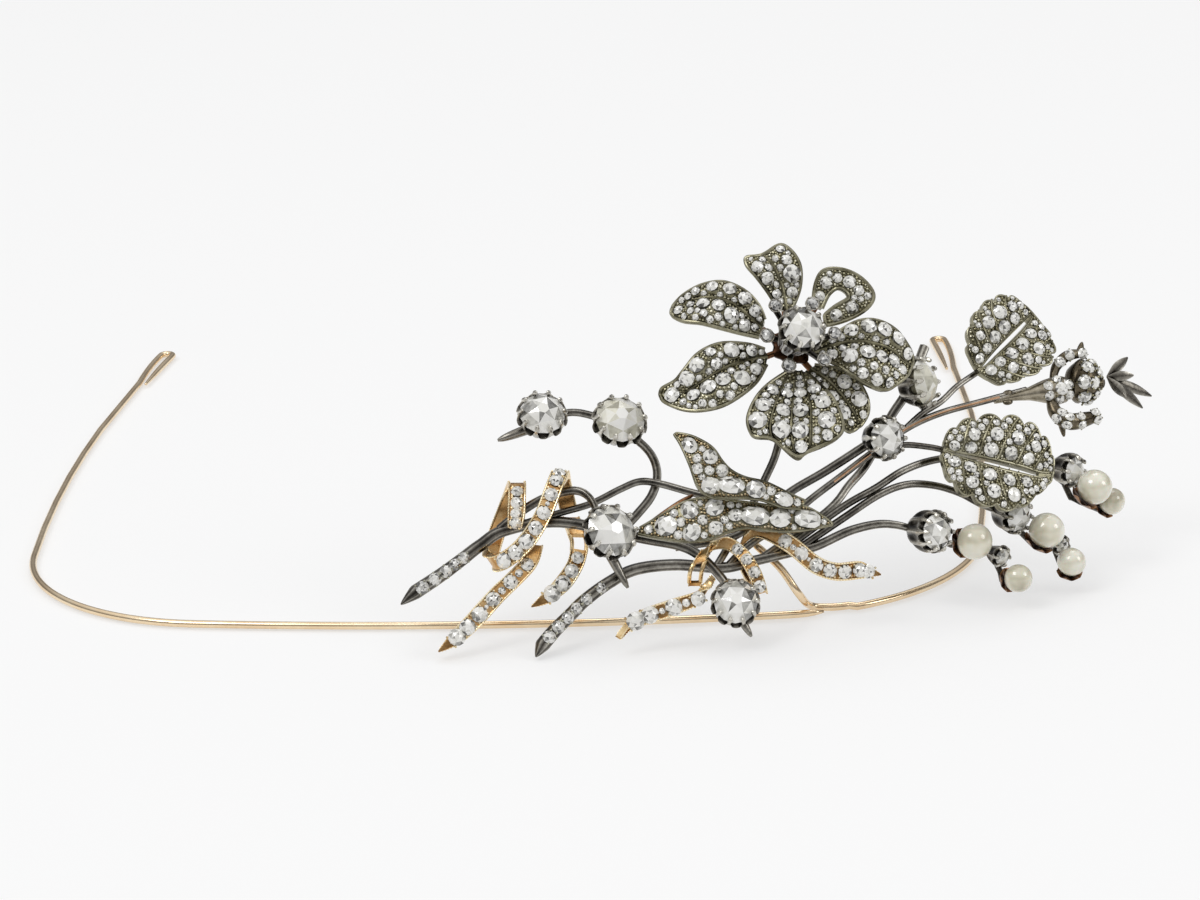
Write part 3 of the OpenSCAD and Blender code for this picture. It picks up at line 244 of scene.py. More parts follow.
def ramp(tree, source, stops, target):
    """Colours a target by the value of a source: stops of (place, colour)."""
    made = node(tree, "ShaderNodeValToRGB")
    entries = made.color_ramp.elements
    while len(entries) < len(stops):
        entries.new(0.5)
    for entry, (place, colour) in zip(entries, stops):
        entry.position = place
        entry.color = (*colour, 1)
    tree.links.new(source, made.inputs["Fac"])
    tree.links.new(made.outputs["Color"], target)


def math_node(tree, kind, source, value):
    """A sum of a socket and a number or another socket."""
    made = node(tree, "ShaderNodeMath", operation=kind)
    tree.links.new(source, made.inputs[0])
    if isinstance(value, float):
        made.inputs[1].default_value = value
    else:
        tree.links.new(value, made.inputs[1])
    return made.outputs[0]


def attribute(tree, name):
    return node(tree, "ShaderNodeAttribute", attribute_name=name).outputs["Fac"]


def noise(tree, scale, detail):
    made = node(tree, "ShaderNodeTexNoise", {"Scale": scale, "Detail": detail, "Roughness": 0.6})
    tree.links.new(node(tree, "ShaderNodeTexCoord").outputs["Object"], made.inputs["Vector"])
    return made.outputs["Fac"]


def metal(name, stops, rough, patches=420.0, bump=0.25):
    """A metal coloured dark to light by attribute tone, which also carries painted shade and painted
    highlight on flutes and collets, plus uneven patina.
    """
    mat, tree, shader = principled(name, Metallic=1.0)
    cloud, fine = noise(tree, patches, 3.0), noise(tree, patches * 7, 4.0)
    mixed = attribute(tree, "tone")
    for source, share in ((cloud, 0.8), (fine, 0.4)):
        even = math_node(tree, "SUBTRACT", math_node(tree, "MULTIPLY", source, share), share / 2)
        mixed = math_node(tree, "ADD", mixed, even)
    ramp(tree, mixed, stops, shader.inputs["Base Color"])
    grade = node(tree, "ShaderNodeMapRange",
                 {"From Min": 0.3, "From Max": 0.7, "To Min": rough[0], "To Max": rough[1]})
    lump = node(tree, "ShaderNodeBump", {"Strength": bump, "Distance": 0.00004})
    links = [(cloud, grade.inputs["Value"]), (grade.outputs["Result"], shader.inputs["Roughness"]),
             (fine, lump.inputs["Height"]), (lump.outputs["Normal"], shader.inputs["Normal"])]
    for source, target in links:
        tree.links.new(source, target)
    return mat


def stone_material(name, tint, dark, middle=0.42, bright=1.0):
    """A cut stone painted with light: each facet has its own share of painted shade and painted highlight,
    attribute cut, with painted glints from noise.
    """
    mat, tree, shader = principled(
        name, Roughness=0.03, IOR=2.1, Transmission_Weight=0.12, Specular_IOR_Level=0.6)
    # Noise adds painted glints within each facet.
    painted_glint_noise = math_node(tree, "MULTIPLY", math_node(tree, "SUBTRACT", noise(tree, 900.0, 2.0), 0.5), 0.5)
    # Stops run from painted shade through the tint to a white painted highlight.
    stops = [(place, tuple(share * c for c in colour)) for place, share, colour in (
        (0.06, 1.0, dark), (0.21, middle, tint), (0.4, 0.88, tint), (0.8, bright, (1.0, 0.99, 0.95)))]
    ramp(tree, math_node(tree, "ADD", attribute(tree, "cut"), painted_glint_noise), stops, shader.inputs["Base Color"])
    return mat


SILVER = metal("silver", [
    (0.0, (0.028, 0.025, 0.015)), (0.3, (0.17, 0.157, 0.1)), (0.6, (0.36, 0.34, 0.245)),
    (0.85, (0.56, 0.545, 0.43)), (1.0, (0.78, 0.77, 0.67))], (0.16, 0.38))
DARK_SILVER = metal("dark_silver", [
    (0.0, (0.014, 0.012, 0.01)), (0.3, (0.075, 0.068, 0.058)), (0.6, (0.24, 0.225, 0.195)),
    (0.85, (0.48, 0.46, 0.41)), (1.0, (0.72, 0.7, 0.64))], (0.18, 0.36))
BUD_SILVER = metal("bud_silver", [
    (0.0, (0.018, 0.013, 0.008)), (0.3, (0.12, 0.098, 0.066)), (0.6, (0.3, 0.265, 0.2)),
    (0.85, (0.55, 0.5, 0.4)), (1.0, (0.78, 0.74, 0.64))], (0.16, 0.36))
GOLD = metal("gold_wire", [
    (0.0, (0.62, 0.42, 0.24)), (0.5, (0.87, 0.68, 0.45)), (1.0, (0.98, 0.87, 0.66))],
    (0.14, 0.28), 120.0, 0.1)
RIBBON_GOLD = metal("gold_ribbon", [
    (0.0, (0.16, 0.065, 0.018)), (0.35, (0.56, 0.32, 0.12)), (0.7, (0.88, 0.68, 0.38)),
    (1.0, (0.99, 0.9, 0.66))], (0.16, 0.36))
ROSE_GOLD = metal("rose_gold", [
    (0.0, (0.03, 0.014, 0.008)), (0.45, (0.2, 0.095, 0.045)), (1.0, (0.64, 0.4, 0.25))], (0.22, 0.42))
GRAIN_SILVER = metal("grain_silver", [
    (0.0, (0.04, 0.034, 0.018)), (0.4, (0.25, 0.225, 0.13)), (0.75, (0.5, 0.47, 0.32)),
    (1.0, (0.78, 0.75, 0.6))], (0.18, 0.4))
GRAIN_GOLD = metal("grain_gold", [
    (0.0, (0.04, 0.022, 0.008)), (0.4, (0.24, 0.16, 0.075)), (0.75, (0.5, 0.39, 0.22)),
    (1.0, (0.76, 0.64, 0.44))], (0.2, 0.4))
DIAMOND = stone_material("diamond", (0.98, 0.965, 0.89), (0.06, 0.056, 0.045))
OLD_DIAMOND = stone_material("old_diamond", (1.0, 0.97, 0.8), (0.3, 0.28, 0.19), 0.66)
GREY_DIAMOND = stone_material("grey_diamond", (0.34, 0.34, 0.33), (0.02, 0.02, 0.02), 0.35, 0.7)
STEM_DIAMOND = stone_material("stem_diamond", (0.66, 0.65, 0.61), (0.03, 0.028, 0.024), 0.36, 0.9)
PEARL, PEARL_NODES, PEARL_SHADER = principled(
    "pearl", Roughness=0.2, IOR=1.7, Subsurface_Weight=0.08, Subsurface_Scale=0.0005, Coat_Weight=1.0,
    Coat_Roughness=0.05, Sheen_Weight=0.05)
ramp(PEARL_NODES, noise(PEARL_NODES, 260.0, 2.0),
     [(0.3, (0.42, 0.38, 0.27)), (0.5, (0.68, 0.645, 0.5)), (0.7, (0.82, 0.8, 0.69))],
     PEARL_SHADER.inputs["Base Color"])


# Meshes
class Shape:
    """Points with a tone each and faces with a painted share of light each, gathered before they become a
    piece.
    """

    def __init__(self):
        self.points, self.tones, self.faces, self.cuts, self.count = [], [], [], [], 0

    def add(self, points, faces, tone=0.5, cuts=None):
        points = np.asarray(points, float).reshape(-1, 3)
        self.points.append(points)
        self.tones.append(np.broadcast_to(tone, len(points)))
        self.faces.extend([[k + self.count for k in f] for f in faces])
        self.cuts.extend(cuts or [0.5] * len(faces))
        self.count += len(points)


def new_object(name, data):
    made = bpy.data.objects.new(name, data)
    bpy.context.scene.collection.objects.link(made)
    return made


def piece(name, shape, material, replaced, sharp=35.0):
    """A piece of the model. Edges sharper than sharp degrees stay crisp, and with 0 every face is flat."""
    mesh = bpy.data.meshes.new(name)
    points = (np.concatenate(shape.points) - MIDDLE) * MM
    mesh.from_pydata(points.tolist(), [], shape.faces)
    solid = bmesh.new()
    solid.from_mesh(mesh)
    bmesh.ops.recalc_face_normals(solid, faces=solid.faces)
    solid.to_mesh(mesh)
    solid.free()
    if sharp:
        mesh.shade_smooth()
        mesh.set_sharp_from_angle(angle=math.radians(sharp))
    mesh.attributes.new("tone", "FLOAT", "POINT").data.foreach_set("value", np.concatenate(shape.tones))
    # Attribute cut holds each face's painted light: painted shade to painted highlight on stones.
    mesh.attributes.new("cut", "FLOAT", "FACE").data.foreach_set("value", np.array(shape.cuts, float))
    mesh.materials.append(material)
    made = new_object(name, mesh)
    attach(made, "root")
    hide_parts(replaced)


def stones_piece(name, shape, replaced, material=DIAMOND):
    piece(name, shape, material, replaced, 0)


def grid_faces(rows, cols, first=0):
    """Quads of a grid of points whose last column joins the first."""
    return [[a, a + cols, b + cols, b] for i in range(rows - 1) for j in range(cols)
            for a, b in [(first + i * cols + j, first + i * cols + (j + 1) % cols)]]


def loft(shape, rings, tones, flip=False):
    """Skins rings of points, and closes both ends."""
    rows, cols = len(rings), len(rings[0])
    faces = grid_faces(rows, cols) + [list(range(cols)), [rows * cols - 1 - k for k in range(cols)]]
    shape.add(rings, [f[::-1] for f in faces] if flip else faces, tones)


def frames(path):
    """Two cross directions along a path that turn with it and don't twist."""
    tangent = unit(np.gradient(path, axis=0))
    first = np.cross(tangent[0], OUT)
    if np.linalg.norm(first) < 0.1:
        first = np.cross(tangent[0], UP)
    sides = [unit(first)]
    for t in tangent[1:]:
        sides.append(unit(sides[-1] - t * (sides[-1] @ t)))
    return np.array(sides), np.cross(tangent, sides)


# Flute depth, and how much the flutes' crests are painted lighter as highlight and their grooves darker as
# painted shade
FLUTE_DEPTH, FLUTE_PAINTED_LIGHT = 0.08, 3.6


def tube(shape, path, radius, sides=12, tone=0.5, flutes=0):
    """A round or fluted bar along a path, closed at both ends."""
    path = np.asarray(path, float)
    radius = np.broadcast_to(radius, len(path))[:, None]
    u, v = frames(path)
    angle = turns(sides)
    bulge = 1 + (FLUTE_DEPTH if flutes else 0) * np.cos(flutes * angle)
    points = path[:, None] + (radius * (bulge * np.cos(angle)))[..., None] * u[:, None]
    points = points + (radius * (bulge * np.sin(angle)))[..., None] * v[:, None]
    # Painted highlight on the flute crests, painted shade in the grooves
    loft(shape, points, np.tile(tone + FLUTE_PAINTED_LIGHT * (bulge - 1), len(path)))


def bead(shape, centre, normal, r, sides=8, tone=0.85, tall=1.0):
    """A small round grain of metal."""
    out, points = around(normal, turns(sides)), [[centre - normal * r * tall]]
    for level in (-0.6, 0.1, 0.75):
        points.append(centre + r * (math.sqrt(1 - level * level) * out + level * tall * normal))
    points = np.concatenate(points + [[centre + normal * r * tall]])
    top, faces = len(points) - 1, []
    for k in range(sides):
        m = (k + 1) % sides
        faces.append([0, 1 + m, 1 + k])
        for p in (1, 1 + sides):
            faces.append([p + k, p + m, p + sides + m, p + sides + k])
        faces.append([top - sides + k, top - sides + m, top])
    shape.add(points, faces, tone)


# Cut of a stone: rings of [radius, height, number of points, turn in steps], as shares of its diameter
ROSE_CUT = [(0.47, -0.12, 12, 0.0), (0.5, 0.04, 12, 0.0), (0.33, 0.24, 6, 0.5), (0.15, 0.33, 6, 0.0)]
LARGE_CUT = [(0.44, -0.04, 12, 0.0), (0.5, 0.1, 12, 0.0), (0.345, 0.265, 6, 0.5), (0.13, 0.365, 6, 0.0)]


def cut_faces():
    """A flat back, a girdle of twelve sides, two rows of facets and a small table."""
    faces = [[11 - k for k in range(12)]]
    faces += [[k, (k + 1) % 12, 12 + (k + 1) % 12, 12 + k] for k in range(12)]
    for k in range(6):
        m = (k + 1) % 6
        g, h, mid, after = 12 + 2 * k, 12 + (2 * k + 2) % 12, 24 + k, 24 + m
        faces += [[g, g + 1, mid], [g + 1, h, mid], [mid, h, after]]
        faces += [[mid, after, 30 + m], [mid, 30 + m, 30 + k]]
    return faces + [[30 + k for k in range(6)]]


CUT_FACES = cut_faces()


def gem(shape, centre, normal, d, wide=1.0, spin=None, lean=0.06, square=0.0, cut=ROSE_CUT):
    """A rose-cut stone whose facets are painted light and dark by chance."""
    normal = unit(normal + lean * vec(rng.uniform(-1, 1), rng.uniform(-1, 1), rng.uniform(-1, 1)))
    spin = rng.uniform(0, math.tau) if spin is None else spin
    a, b = around(normal, vec(spin, spin + math.pi / 2))
    points = []
    for r, z, count, shift in cut:
        for k in range(count):
            w = math.tau * (k + shift) / count
            reach = r * (1 - square * math.cos(4 * w))
            points.append(centre + d * (reach * (math.cos(w) * wide * a + math.sin(w) * b) + z * normal))
    # Painted light per face: back and girdle painted dark as a shaded outline, facets random painted shade
    # and highlight, table mid to bright.
    cuts = [0.0] * 13 + [rng.random() for _ in range(30)] + [rng.uniform(0.3, 1)]
    shape.add(points, CUT_FACES, 0.5, cuts)


def grains(shape, centre, normal, d, number, r, tone=0.85):
    """Grains of metal round a stone."""
    for out in around(normal, rng.uniform(0, math.tau) + turns(number)):
        bead(shape, centre + out * d * 0.53 + normal * d * 0.08, normal, r * rng.uniform(0.85, 1.15), 6, tone)


# Settings and stems, as in the part: [right, up, lift, facing, diameter, height]
SETTINGS = [
    [-7.7, 5.0, 3.6, [0.10, 0.48, 0.87], 6.0, 3.2],
    [2.7, 4.2, 3.6, [0.15, 0.48, 0.86], 6.6, 3.2],
    [1.6, -10.7, 6.2, [0.42, 0.30, 0.86], 6.7, 3.4],
    [18.1, -20.2, 4.4, [0.05, 0.30, 0.95], 5.7, 3.2],
    [38.4, 1.6, 4.4, [0.50, 0.00, 0.87], 5.2, 3.6],
    [43.4, 9.1, 2.4, [0.88, 0.15, 0.45], 6.4, 3.2],
    [45.1, -10.9, 2.0, [0.60, -0.05, 0.80], 4.9, 4.4],
    [56.0, -8.9, 1.0, [0.62, -0.20, 0.76], 4.2, 4.0],
    [63.4, -2.8, -0.4, [0.70, -0.15, 0.70], 3.8, 3.2],
    [53.7, -14.3, 0.8, [0.60, -0.30, 0.74], 2.3, 2.4],
    [61.7, -12.8, -1.8, [0.60, -0.30, 0.74], 2.1, 2.2],
]
FLOWER = [27.1, 16.4, 15.0, [0.24, 0.36, 0.90], 5.6, 6.4]
# Pearls: [right, up, lift, facing, diameter]
PEARLS = [
    [50.0, -12.2, 2.0, [0.75, 0.10, 0.65], 4.7],
    [55.8, -17.1, 1.6, [0.80, 0.15, 0.58], 3.7],
    [59.6, -10.7, 1.9, [0.45, 0.75, 0.48], 4.7],
    [62.9, -14.9, 0.2, [0.10, 0.80, 0.59], 3.8],
    [66.0, -4.9, 2.0, [0.62, 0.68, 0.40], 4.7],
    [68.3, -6.8, -1.6, [0.60, 0.50, 0.62], 3.6],
]
# How deep a stone sits in its collet, and how high the claws rise, as shares of its diameter
SEAT_SHARE, CLAW_SHARE = 0.16, 0.14

# The row frame's origin in the layout's frame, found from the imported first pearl, a ball
MIDDLE = at(PEARLS[0][:3]) - (vec(*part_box("pearl_1")[0]) + vec(*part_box("pearl_1")[1])) / 2 / MM
MIDDLE[2] = 0


def foot_of(c):
    return at(c[:3]) - facing(c[3]) * c[5] * UNIT


def back_of(p):
    return at(p[:3]) - facing(p[3]) * (p[4] / 2 * UNIT + FIT_GAP)


def hold_of(p):
    return back_of(p) - facing(p[3]) * STEM_D / 2


TRUNK = [[-24.6, -18.9, 1.2], [-21.3, -16.7, 1], [-18.6, -14.7, 0.7], [-16, -12.7, 0.4],
         [-12.7, -10.7, 0.2], [-5.3, -9.6, 0], [5.3, -11.7, 0.4], [12, -13.3, 0.8], [16.3, -17.2, 1],
         [17.9, -20.6, 1.4]]
STEM_LOW = [[-7.7, -26, 1.9], [-6, -24, 1.4], [-4, -22, 0.9], [-2, -20, 0.6], [1.3, -17.6, 0.2],
            [4.8, -15.9, 0], [10.1, -15.3, 0], [16.3, -15.7, -0.4], [20.4, -14.8, -0.4],
            [25.5, -13.6, -0.4], [28.8, -12.8, -0.4], [33.2, -10.8, -0.6], [36.9, -9.9, -0.8],
            [39.6, -10, -1], [42.2, -10.7, -1.4]]
TRUNK_POINT, LOW_POINT = [-26.6, -20.6, 1.6], [-8.6, -27.6, 2.4]
# Each thin stem: places, first and last diameter as shares of STEM_D
THIN_STEMS = [
    ([[-13.5, -10.6, 0.3], [-10.4, -8.1, 0.6], [-7.2, -6.3, 1], [-3.5, -5.4, 1.4], [-1.4, -6.4, 2],
      [-0.2, -9, 3], [0.2, -11.2, 3.5]], 1.2, 1),
    ([[-11, -10, 0.2], [-5.1, -8.3, 0.6], [-1.1, -7.1, 1], [2.7, -5.2, 1.4], [5.3, -4.2, 1.6],
      [8, -4.5, 1.6], [12, -5.6, 2], [16.3, -6.7, 2.2]], 0.9, 1),
    ([[2.4, -11.2, 0.3], [4.9, -8.6, 0.3], [6.9, -6, 0.2], [7.6, -3.2, 0.2], [6.8, -0.6, 0.6],
      [4.6, 1.6, 1.2], [2.4, 2.8, 1.2]], 1.2, 1.1),
    ([[2, 3.2, 1.2], [-1.1, 4.6, 1.3], [-4.3, 5, 1], [-7.6, 3.8, 1]], 1, 1),
    ([[10, -13, 0.2], [17.6, -11.6, 0.4], [21.6, -8.6, 0.6], [25.5, -5.5, 0.8], [30.1, -2.8, 1],
      [36, 1, 1.4]], 1, 1.2),
    ([[17, -15.5, -0.3], [19.6, -12.9, -0.1], [24.7, -9.4, 0], [28.3, -6.4, 0], [32, -3.6, 0.2],
      [36.2, -0.4, 0.4], [40.9, 2.9, 0.4], [45.3, 4.9, 0.6], [50.7, 6.4, 0.8], [56.9, 8.05, 1]], 1, 0.9),
    ([[21, -14.8, -0.4], [30.1, -8.3, -0.4], [33.2, -4.7, -0.8], [35.7, -1.6, -1], [38.7, 4.3, -1.1],
      [40.7, 7.4, -0.4], [42.2, 11, -0.4], [43.3, 13.8, -0.4]], 1, 1.4),
    ([[23.4, -14.2, -0.3], [31.9, -7.9, 0.4], [36.7, -5.1, 0.4], [40.7, -2.6, 0.2], [45.2, -1.2, -0.4],
      [50.7, -0.9, -1], [56, -1.4, -1.6], [61.2, -2.4, -2.4]], 1, 1),
    ([[25.8, -13.6, -0.4], [32.7, -8.9, 0.2], [37.3, -5.9, 0], [40.9, -4.6, -0.4], [44.5, -4.7, -0.8],
      [47.9, -5.7, -1.4], [50.8, -7.2, -1.8], [53.6, -8.2, -2]], 1, 1),
    ([[40.9, 3, 0.4], [43, 4.9, 0.5], [45.5, 6.5, 0.5], [47.6, 8.5, 0.3], [50.2, 10.3, 0.1]], 0.9, 0.8),
    ([[37.6, 0.2, 1.8], [40.7, 0.7, 2.2], [44, 0.4, 2.3], [45.9, 0, 2.4]], 0.8, 0.8),
    ([[15.4, -15.7, -0.4], [19.6, -8.6, -0.4], [22.1, -3.6, 0], [23.4, -0.6, 1], [24.2, 3, 1.8],
      [24.8, 8, 2.8], [25.2, 12.4, 3.8]], 1, 1.1),
]
BEND_7, BEND_8 = at([46.8, -12.6, -1.9]), at([56.6, -11.4, -2.4])
STRINGS = [
    [foot_of(SETTINGS[6]), BEND_7, foot_of(SETTINGS[9]), at([53.4, -16.2, -1.2]), hold_of(PEARLS[1])],
    [foot_of(SETTINGS[7]), BEND_8, foot_of(SETTINGS[10]), at([61.8, -16.2, -3.2]), hold_of(PEARLS[3])],
    [foot_of(SETTINGS[8]), at([62.8, -6.3, -2.2]), hold_of(PEARLS[4]), hold_of(PEARLS[5])],
    [BEND_7, hold_of(PEARLS[0])],
    [BEND_8, hold_of(PEARLS[2])],
    [foot_of(SETTINGS[2]), at([0.2, -11.2, 3.5])],
]
# Thorns behind the collets: [setting, tip, thickness]
THORNS = [(0, [-13.7, 1.3, 1.2], 1.2), (2, [3.7, -18.4, 2.2], 1.2), (3, [20.2, -24.9, 1.4], 1.0)]
# Rose-gold lines along thin stems: (stem, from, to)
ROSE_LINES = [(5, 0.42, 0.93), (6, 0.3, 0.62)]


def stalk(shape, places, first, last, tip=None):
    """A fluted stem; one with a tip runs out into a point before its first place."""
    steps = 9 * (len(places) - 1) + 1
    path = on(places, np.linspace(0, 1, steps))
    radius = np.linspace(first, last, steps) / 2
    if tip is not None:
        share = np.linspace(0, 1, 8)[:-1]
        path = np.concatenate([bowed(at(tip), path[0], share), path])
        radius = np.concatenate([first / 2 * (0.1 + 0.94 * share**0.8), radius])
    tube(shape, path, radius, 24, flutes=6)


def lathe(shape, foot, n, levels, steps, ring_at):
    """Rings round an axis: ring_at(level, turn) gives a level's radius, height and tone."""
    turn = turns(steps)
    out, rings, tones = around(n, turn), [], []
    for level in levels:
        r, z, tone = (np.broadcast_to(value, steps) for value in ring_at(level, turn))
        rings.append(foot + r[:, None] * out + z[:, None] * n)
        tones.append(np.clip(tone, 0, 1))
    loft(shape, rings, np.concatenate(tones), True)


def turned(shape, foot, n, profile, steps, tone, tone_rise=0.0, lobes=0, wave=0.0):
    """A lathe of [radius, height] pairs, round or with lobes."""
    lathe(shape, foot, n, profile, steps, lambda level, turn: (
        level[0] * (1 + wave * np.cos(lobes * turn)), level[1], tone + tone_rise * level[1]))


def two_sided(outside, inside):
    """Levels of an open cup: (is inside, share of the height), up the outside and down the inside."""
    return [(False, q) for q in outside] + [(True, q) for q in inside]


def collet(shape, c, lobes, spread=0.6, bulge=0.0):
    """A cut-down collet: a bell of dark silver, fluted between its claws."""
    r, h = c[4] / 2 * UNIT + FIT_GAP, c[5] * UNIT
    seat, claw = h - c[4] * SEAT_SHARE * UNIT, c[4] * CLAW_SHARE * UNIT
    n = facing(c[3])

    def ring_at(level, turn):
        inside, q = level
        peak = (1 + np.cos(lobes * turn)) / 2
        top = h - claw + claw * (1.5 * peak**3 - 0.15)
        if inside:
            return r * (0.97 + 0.03 * q) - 0.1 * r * q * peak**3, seat + (top - seat) * q, 0.3
        bell = spread + (1 - spread) * q**0.65 + bulge * math.sin(math.pi * q**0.8)
        dent = 0.24 * math.sin(math.pi * q**1.2) * (1 - peak**1.2)
        lean = 0.1 * max(q - 0.8, 0) / 0.2 * peak**3
        # Between the claws, half way up, the tone is painted dark as shade where arched openings would be.
        rib = (0.2 + 0.55 * peak**1.5) * (1 - 0.9 * math.sin(math.pi * q) * (1 - peak**1.5))
        return r * (bell - dent - lean) + COLLET_WALL * q, q * top, rib + 0.35 * q**4

    levels = two_sided((0.0, 0.03, 0.12, 0.25, 0.4, 0.55, 0.7, 0.82, 0.92, 1.0), (1.0, 0.6, 0.2, 0.0))
    lathe(shape, foot_of(c), n, levels, lobes * 12, ring_at)
    for out in around(n, turns(lobes)):
        place = at(c[:3]) + out * r * 0.93 + n * claw * 0.5
        bead(shape, place, unit(n - out * 0.6), 0.22 + 0.025 * c[4], 8, 0.9, 1.6)


def pearl_cup(shape, p):
    """A lobed cup behind a pearl."""
    r, lobes = p[4] / 2 * UNIT, 6

    def ring_at(level, turn):
        inside, q = level
        wave = np.cos(lobes * turn)
        wall = 0 if inside else COLLET_WALL
        radius = (0.3 * r + (0.42 * r + FIT_GAP + wall * 0.7) * q**0.6) * (1 + 0.05 * wave)
        return radius, (r * (0.13 + 0.1 * wave) + wall) * q**1.4 - wall, 0.15 + 0.4 * q + 0.15 * wave

    levels = two_sided((0.0, 0.1, 0.35, 0.7, 1.0), (1.0, 0.5, 0.0))
    lathe(shape, back_of(p), facing(p[3]), levels, lobes * 8, ring_at)


def make_stems():
    shape = Shape()
    stalk(shape, TRUNK, TRUNK_D, STEM_D * 1.1, TRUNK_POINT)
    stalk(shape, STEM_LOW, TRUNK_D, STEM_D, LOW_POINT)
    for places, first, last in THIN_STEMS:
        stalk(shape, places, STEM_D * first, STEM_D * last)
    for string in STRINGS:
        tube(shape, string, STEM_D * 0.45, 10, 0.3)
        for place in string[1:-1]:
            bead(shape, place, OUT, STEM_D * 0.47, 10, 0.3)
    share = np.linspace(0, 1, 12)
    for index, tip, thick in THORNS:
        path = bowed(foot_of(SETTINGS[index]), at(tip), share, 0.35)
        tube(shape, path, STEM_D * thick * 0.62 * np.sqrt(1 - 0.93 * share**3), 14, 0.6)
    piece("stems_fluted", shape, DARK_SILVER, "stems")
    lines = Shape()
    for number, start, end in ROSE_LINES:
        path = on(THIN_STEMS[number][0], np.linspace(start, end, 60))
        tube(lines, path + OUT * STEM_D * 0.36, 0.2, 8, 0.95)
    piece("stem_rose_lines", lines, ROSE_GOLD, "stems")
    cups = Shape()
    for c in SETTINGS:
        claws = 10 if c[4] > 4.5 else (8 if c[4] > 3 else 6)
        collet(cups, c, claws, 0.6, 0.2 if c in SETTINGS[6:9] else 0.06)
    piece("collets", cups, DARK_SILVER, "stems")
    pearl_cups = Shape()
    for p in PEARLS:
        pearl_cup(pearl_cups, p)
    piece("pearl_cups", pearl_cups, ROSE_GOLD, "stems")


def large_stone(name, c, material=DIAMOND):
    shape, n, d = Shape(), facing(c[3]), c[4] * UNIT
    gem(shape, at(c[:3]) - n * (d * SEAT_SHARE - FIT_GAP), n, d, 1.0, rng.uniform(0, 1), 0.0, 0.0, LARGE_CUT)
    stones_piece(name + "_cut", shape, name, material)


def make_pearls():
    rows, cols = 28, 48
    faces = grid_faces(rows - 1, cols, 1)
    last = 1 + (rows - 1) * cols
    for j in range(cols):
        m = (j + 1) % cols
        faces += [[0, 1 + j, 1 + m], [last, last - cols + m, last - cols + j]]
    turn = turns(cols)
    for k, p in enumerate(PEARLS):
        shape, centre, r = Shape(), at(p[:3]), p[4] / 2 * UNIT
        points = [[centre + vec(0, 0, r)]]
        for w in math.pi * np.arange(1, rows) / rows:
            swell = 1 + 0.012 * np.sin(2 * turn + k) * math.sin(w) + 0.01 * math.sin(3 * w + k)
            ball = [math.sin(w) * np.cos(turn), math.sin(w) * np.sin(turn), math.cos(w) + 0 * turn]
            points.append(centre + r * (swell * ball).T)
        shape.add(np.concatenate(points + [[centre - vec(0, 0, r)]]), faces)
        piece(f"pearl_{k + 1}_round", shape, PEARL, f"pearl_{k + 1}", 80)


# Plates: petals and leaves
class Plate:
    """A curved plate from ribs of [right, up, ..., lift], with a relief in shares of its half width."""

    def __init__(self, ribs, relief):
        ribs = np.array(ribs, float)
        self.ribs, self.lifts = ribs[:, :-1].reshape(len(ribs), -1, 2), ribs[:, -1]
        self.relief = relief
        self.back = self.normal(0.5, 0.0) * PLATE_T

    def uv(self, t, s):
        return across(along(self.ribs, t), s)

    def at(self, t, s):
        """Points at shares t along it and s, from -1 to 1, across it."""
        t, s = np.broadcast_arrays(np.asarray(t, float), np.asarray(s, float))
        half = np.linalg.norm(self.uv(t, s * 0 + 1) - self.uv(t, s * 0 - 1), axis=-1) / 2
        lift = along(self.lifts, t) + along(self.relief, (s + 1) / 2) * half
        return at(np.concatenate([self.uv(t, s), lift[..., None]], axis=-1))

    def normal(self, t, s):
        t, s = np.broadcast_arrays(np.asarray(t, float), np.asarray(s, float))
        a = self.at(np.minimum(t + 0.02, 1), s) - self.at(np.maximum(t - 0.02, 0), s)
        b = self.at(t, np.minimum(s + 0.05, 1)) - self.at(t, np.maximum(s - 0.05, -1))
        n = unit(np.cross(a, b))
        return np.where((n @ OUT)[..., None] > 0, n, -n)


def plate_body(shape, plate, rows, columns, edge, slit=(-1, 0, 0)):
    """Front, back and walls of a plate. edge(t, s) moves s, and slit is (column, first row, last row)."""
    cols = len(columns)
    t = np.linspace(0, 1, rows)[:, None] + np.zeros(cols)
    front = plate.at(t, edge(t, np.zeros((rows, 1)) + columns))
    n, i, j = rows * cols, rows // 2, cols // 2
    down, over = front[i + 1, j] - front[i, j], front[i, -1] - front[i, 0]
    column, first, last = slit
    faces = []
    for i in range(rows - 1):
        for j in range(cols - 1):
            p, q = i * cols + j, (i + 1) * cols + j
            if j == column and first <= i < last:
                faces += [[p, q, n + q, n + p], [p + 1, n + p + 1, n + q + 1, q + 1]]
            else:
                faces += [[p, q, q + 1, p + 1], [n + p, n + p + 1, n + q + 1, n + q]]
        p, q, e = i * cols, (i + 1) * cols, cols - 1
        faces += [[p, n + p, n + q, q], [p + e, q + e, n + q + e, n + p + e]]
    for j in range(cols - 1):
        m = (rows - 1) * cols + j
        faces += [[j, j + 1, n + j + 1, n + j], [m, n + m, n + m + 1, m + 1]]
    if last > first:
        a, b = first * cols + column, last * cols + column
        faces += [[a, n + a, n + a + 1, a + 1], [b, b + 1, n + b + 1, n + b]]
    if np.dot(np.cross(down, over), OUT) < 0:
        faces = [f[::-1] for f in faces]
    flat = front.reshape(-1, 3)
    shape.add(np.concatenate([flat, flat - plate.back]), faces, np.repeat([0.32, 0.55], n))


def round_edge(t, s):
    """Rounds the corners of a plate at its tip."""
    return s * (1 - 0.32 * np.clip((t - 0.86) / 0.14, 0, 1) ** 2.2)


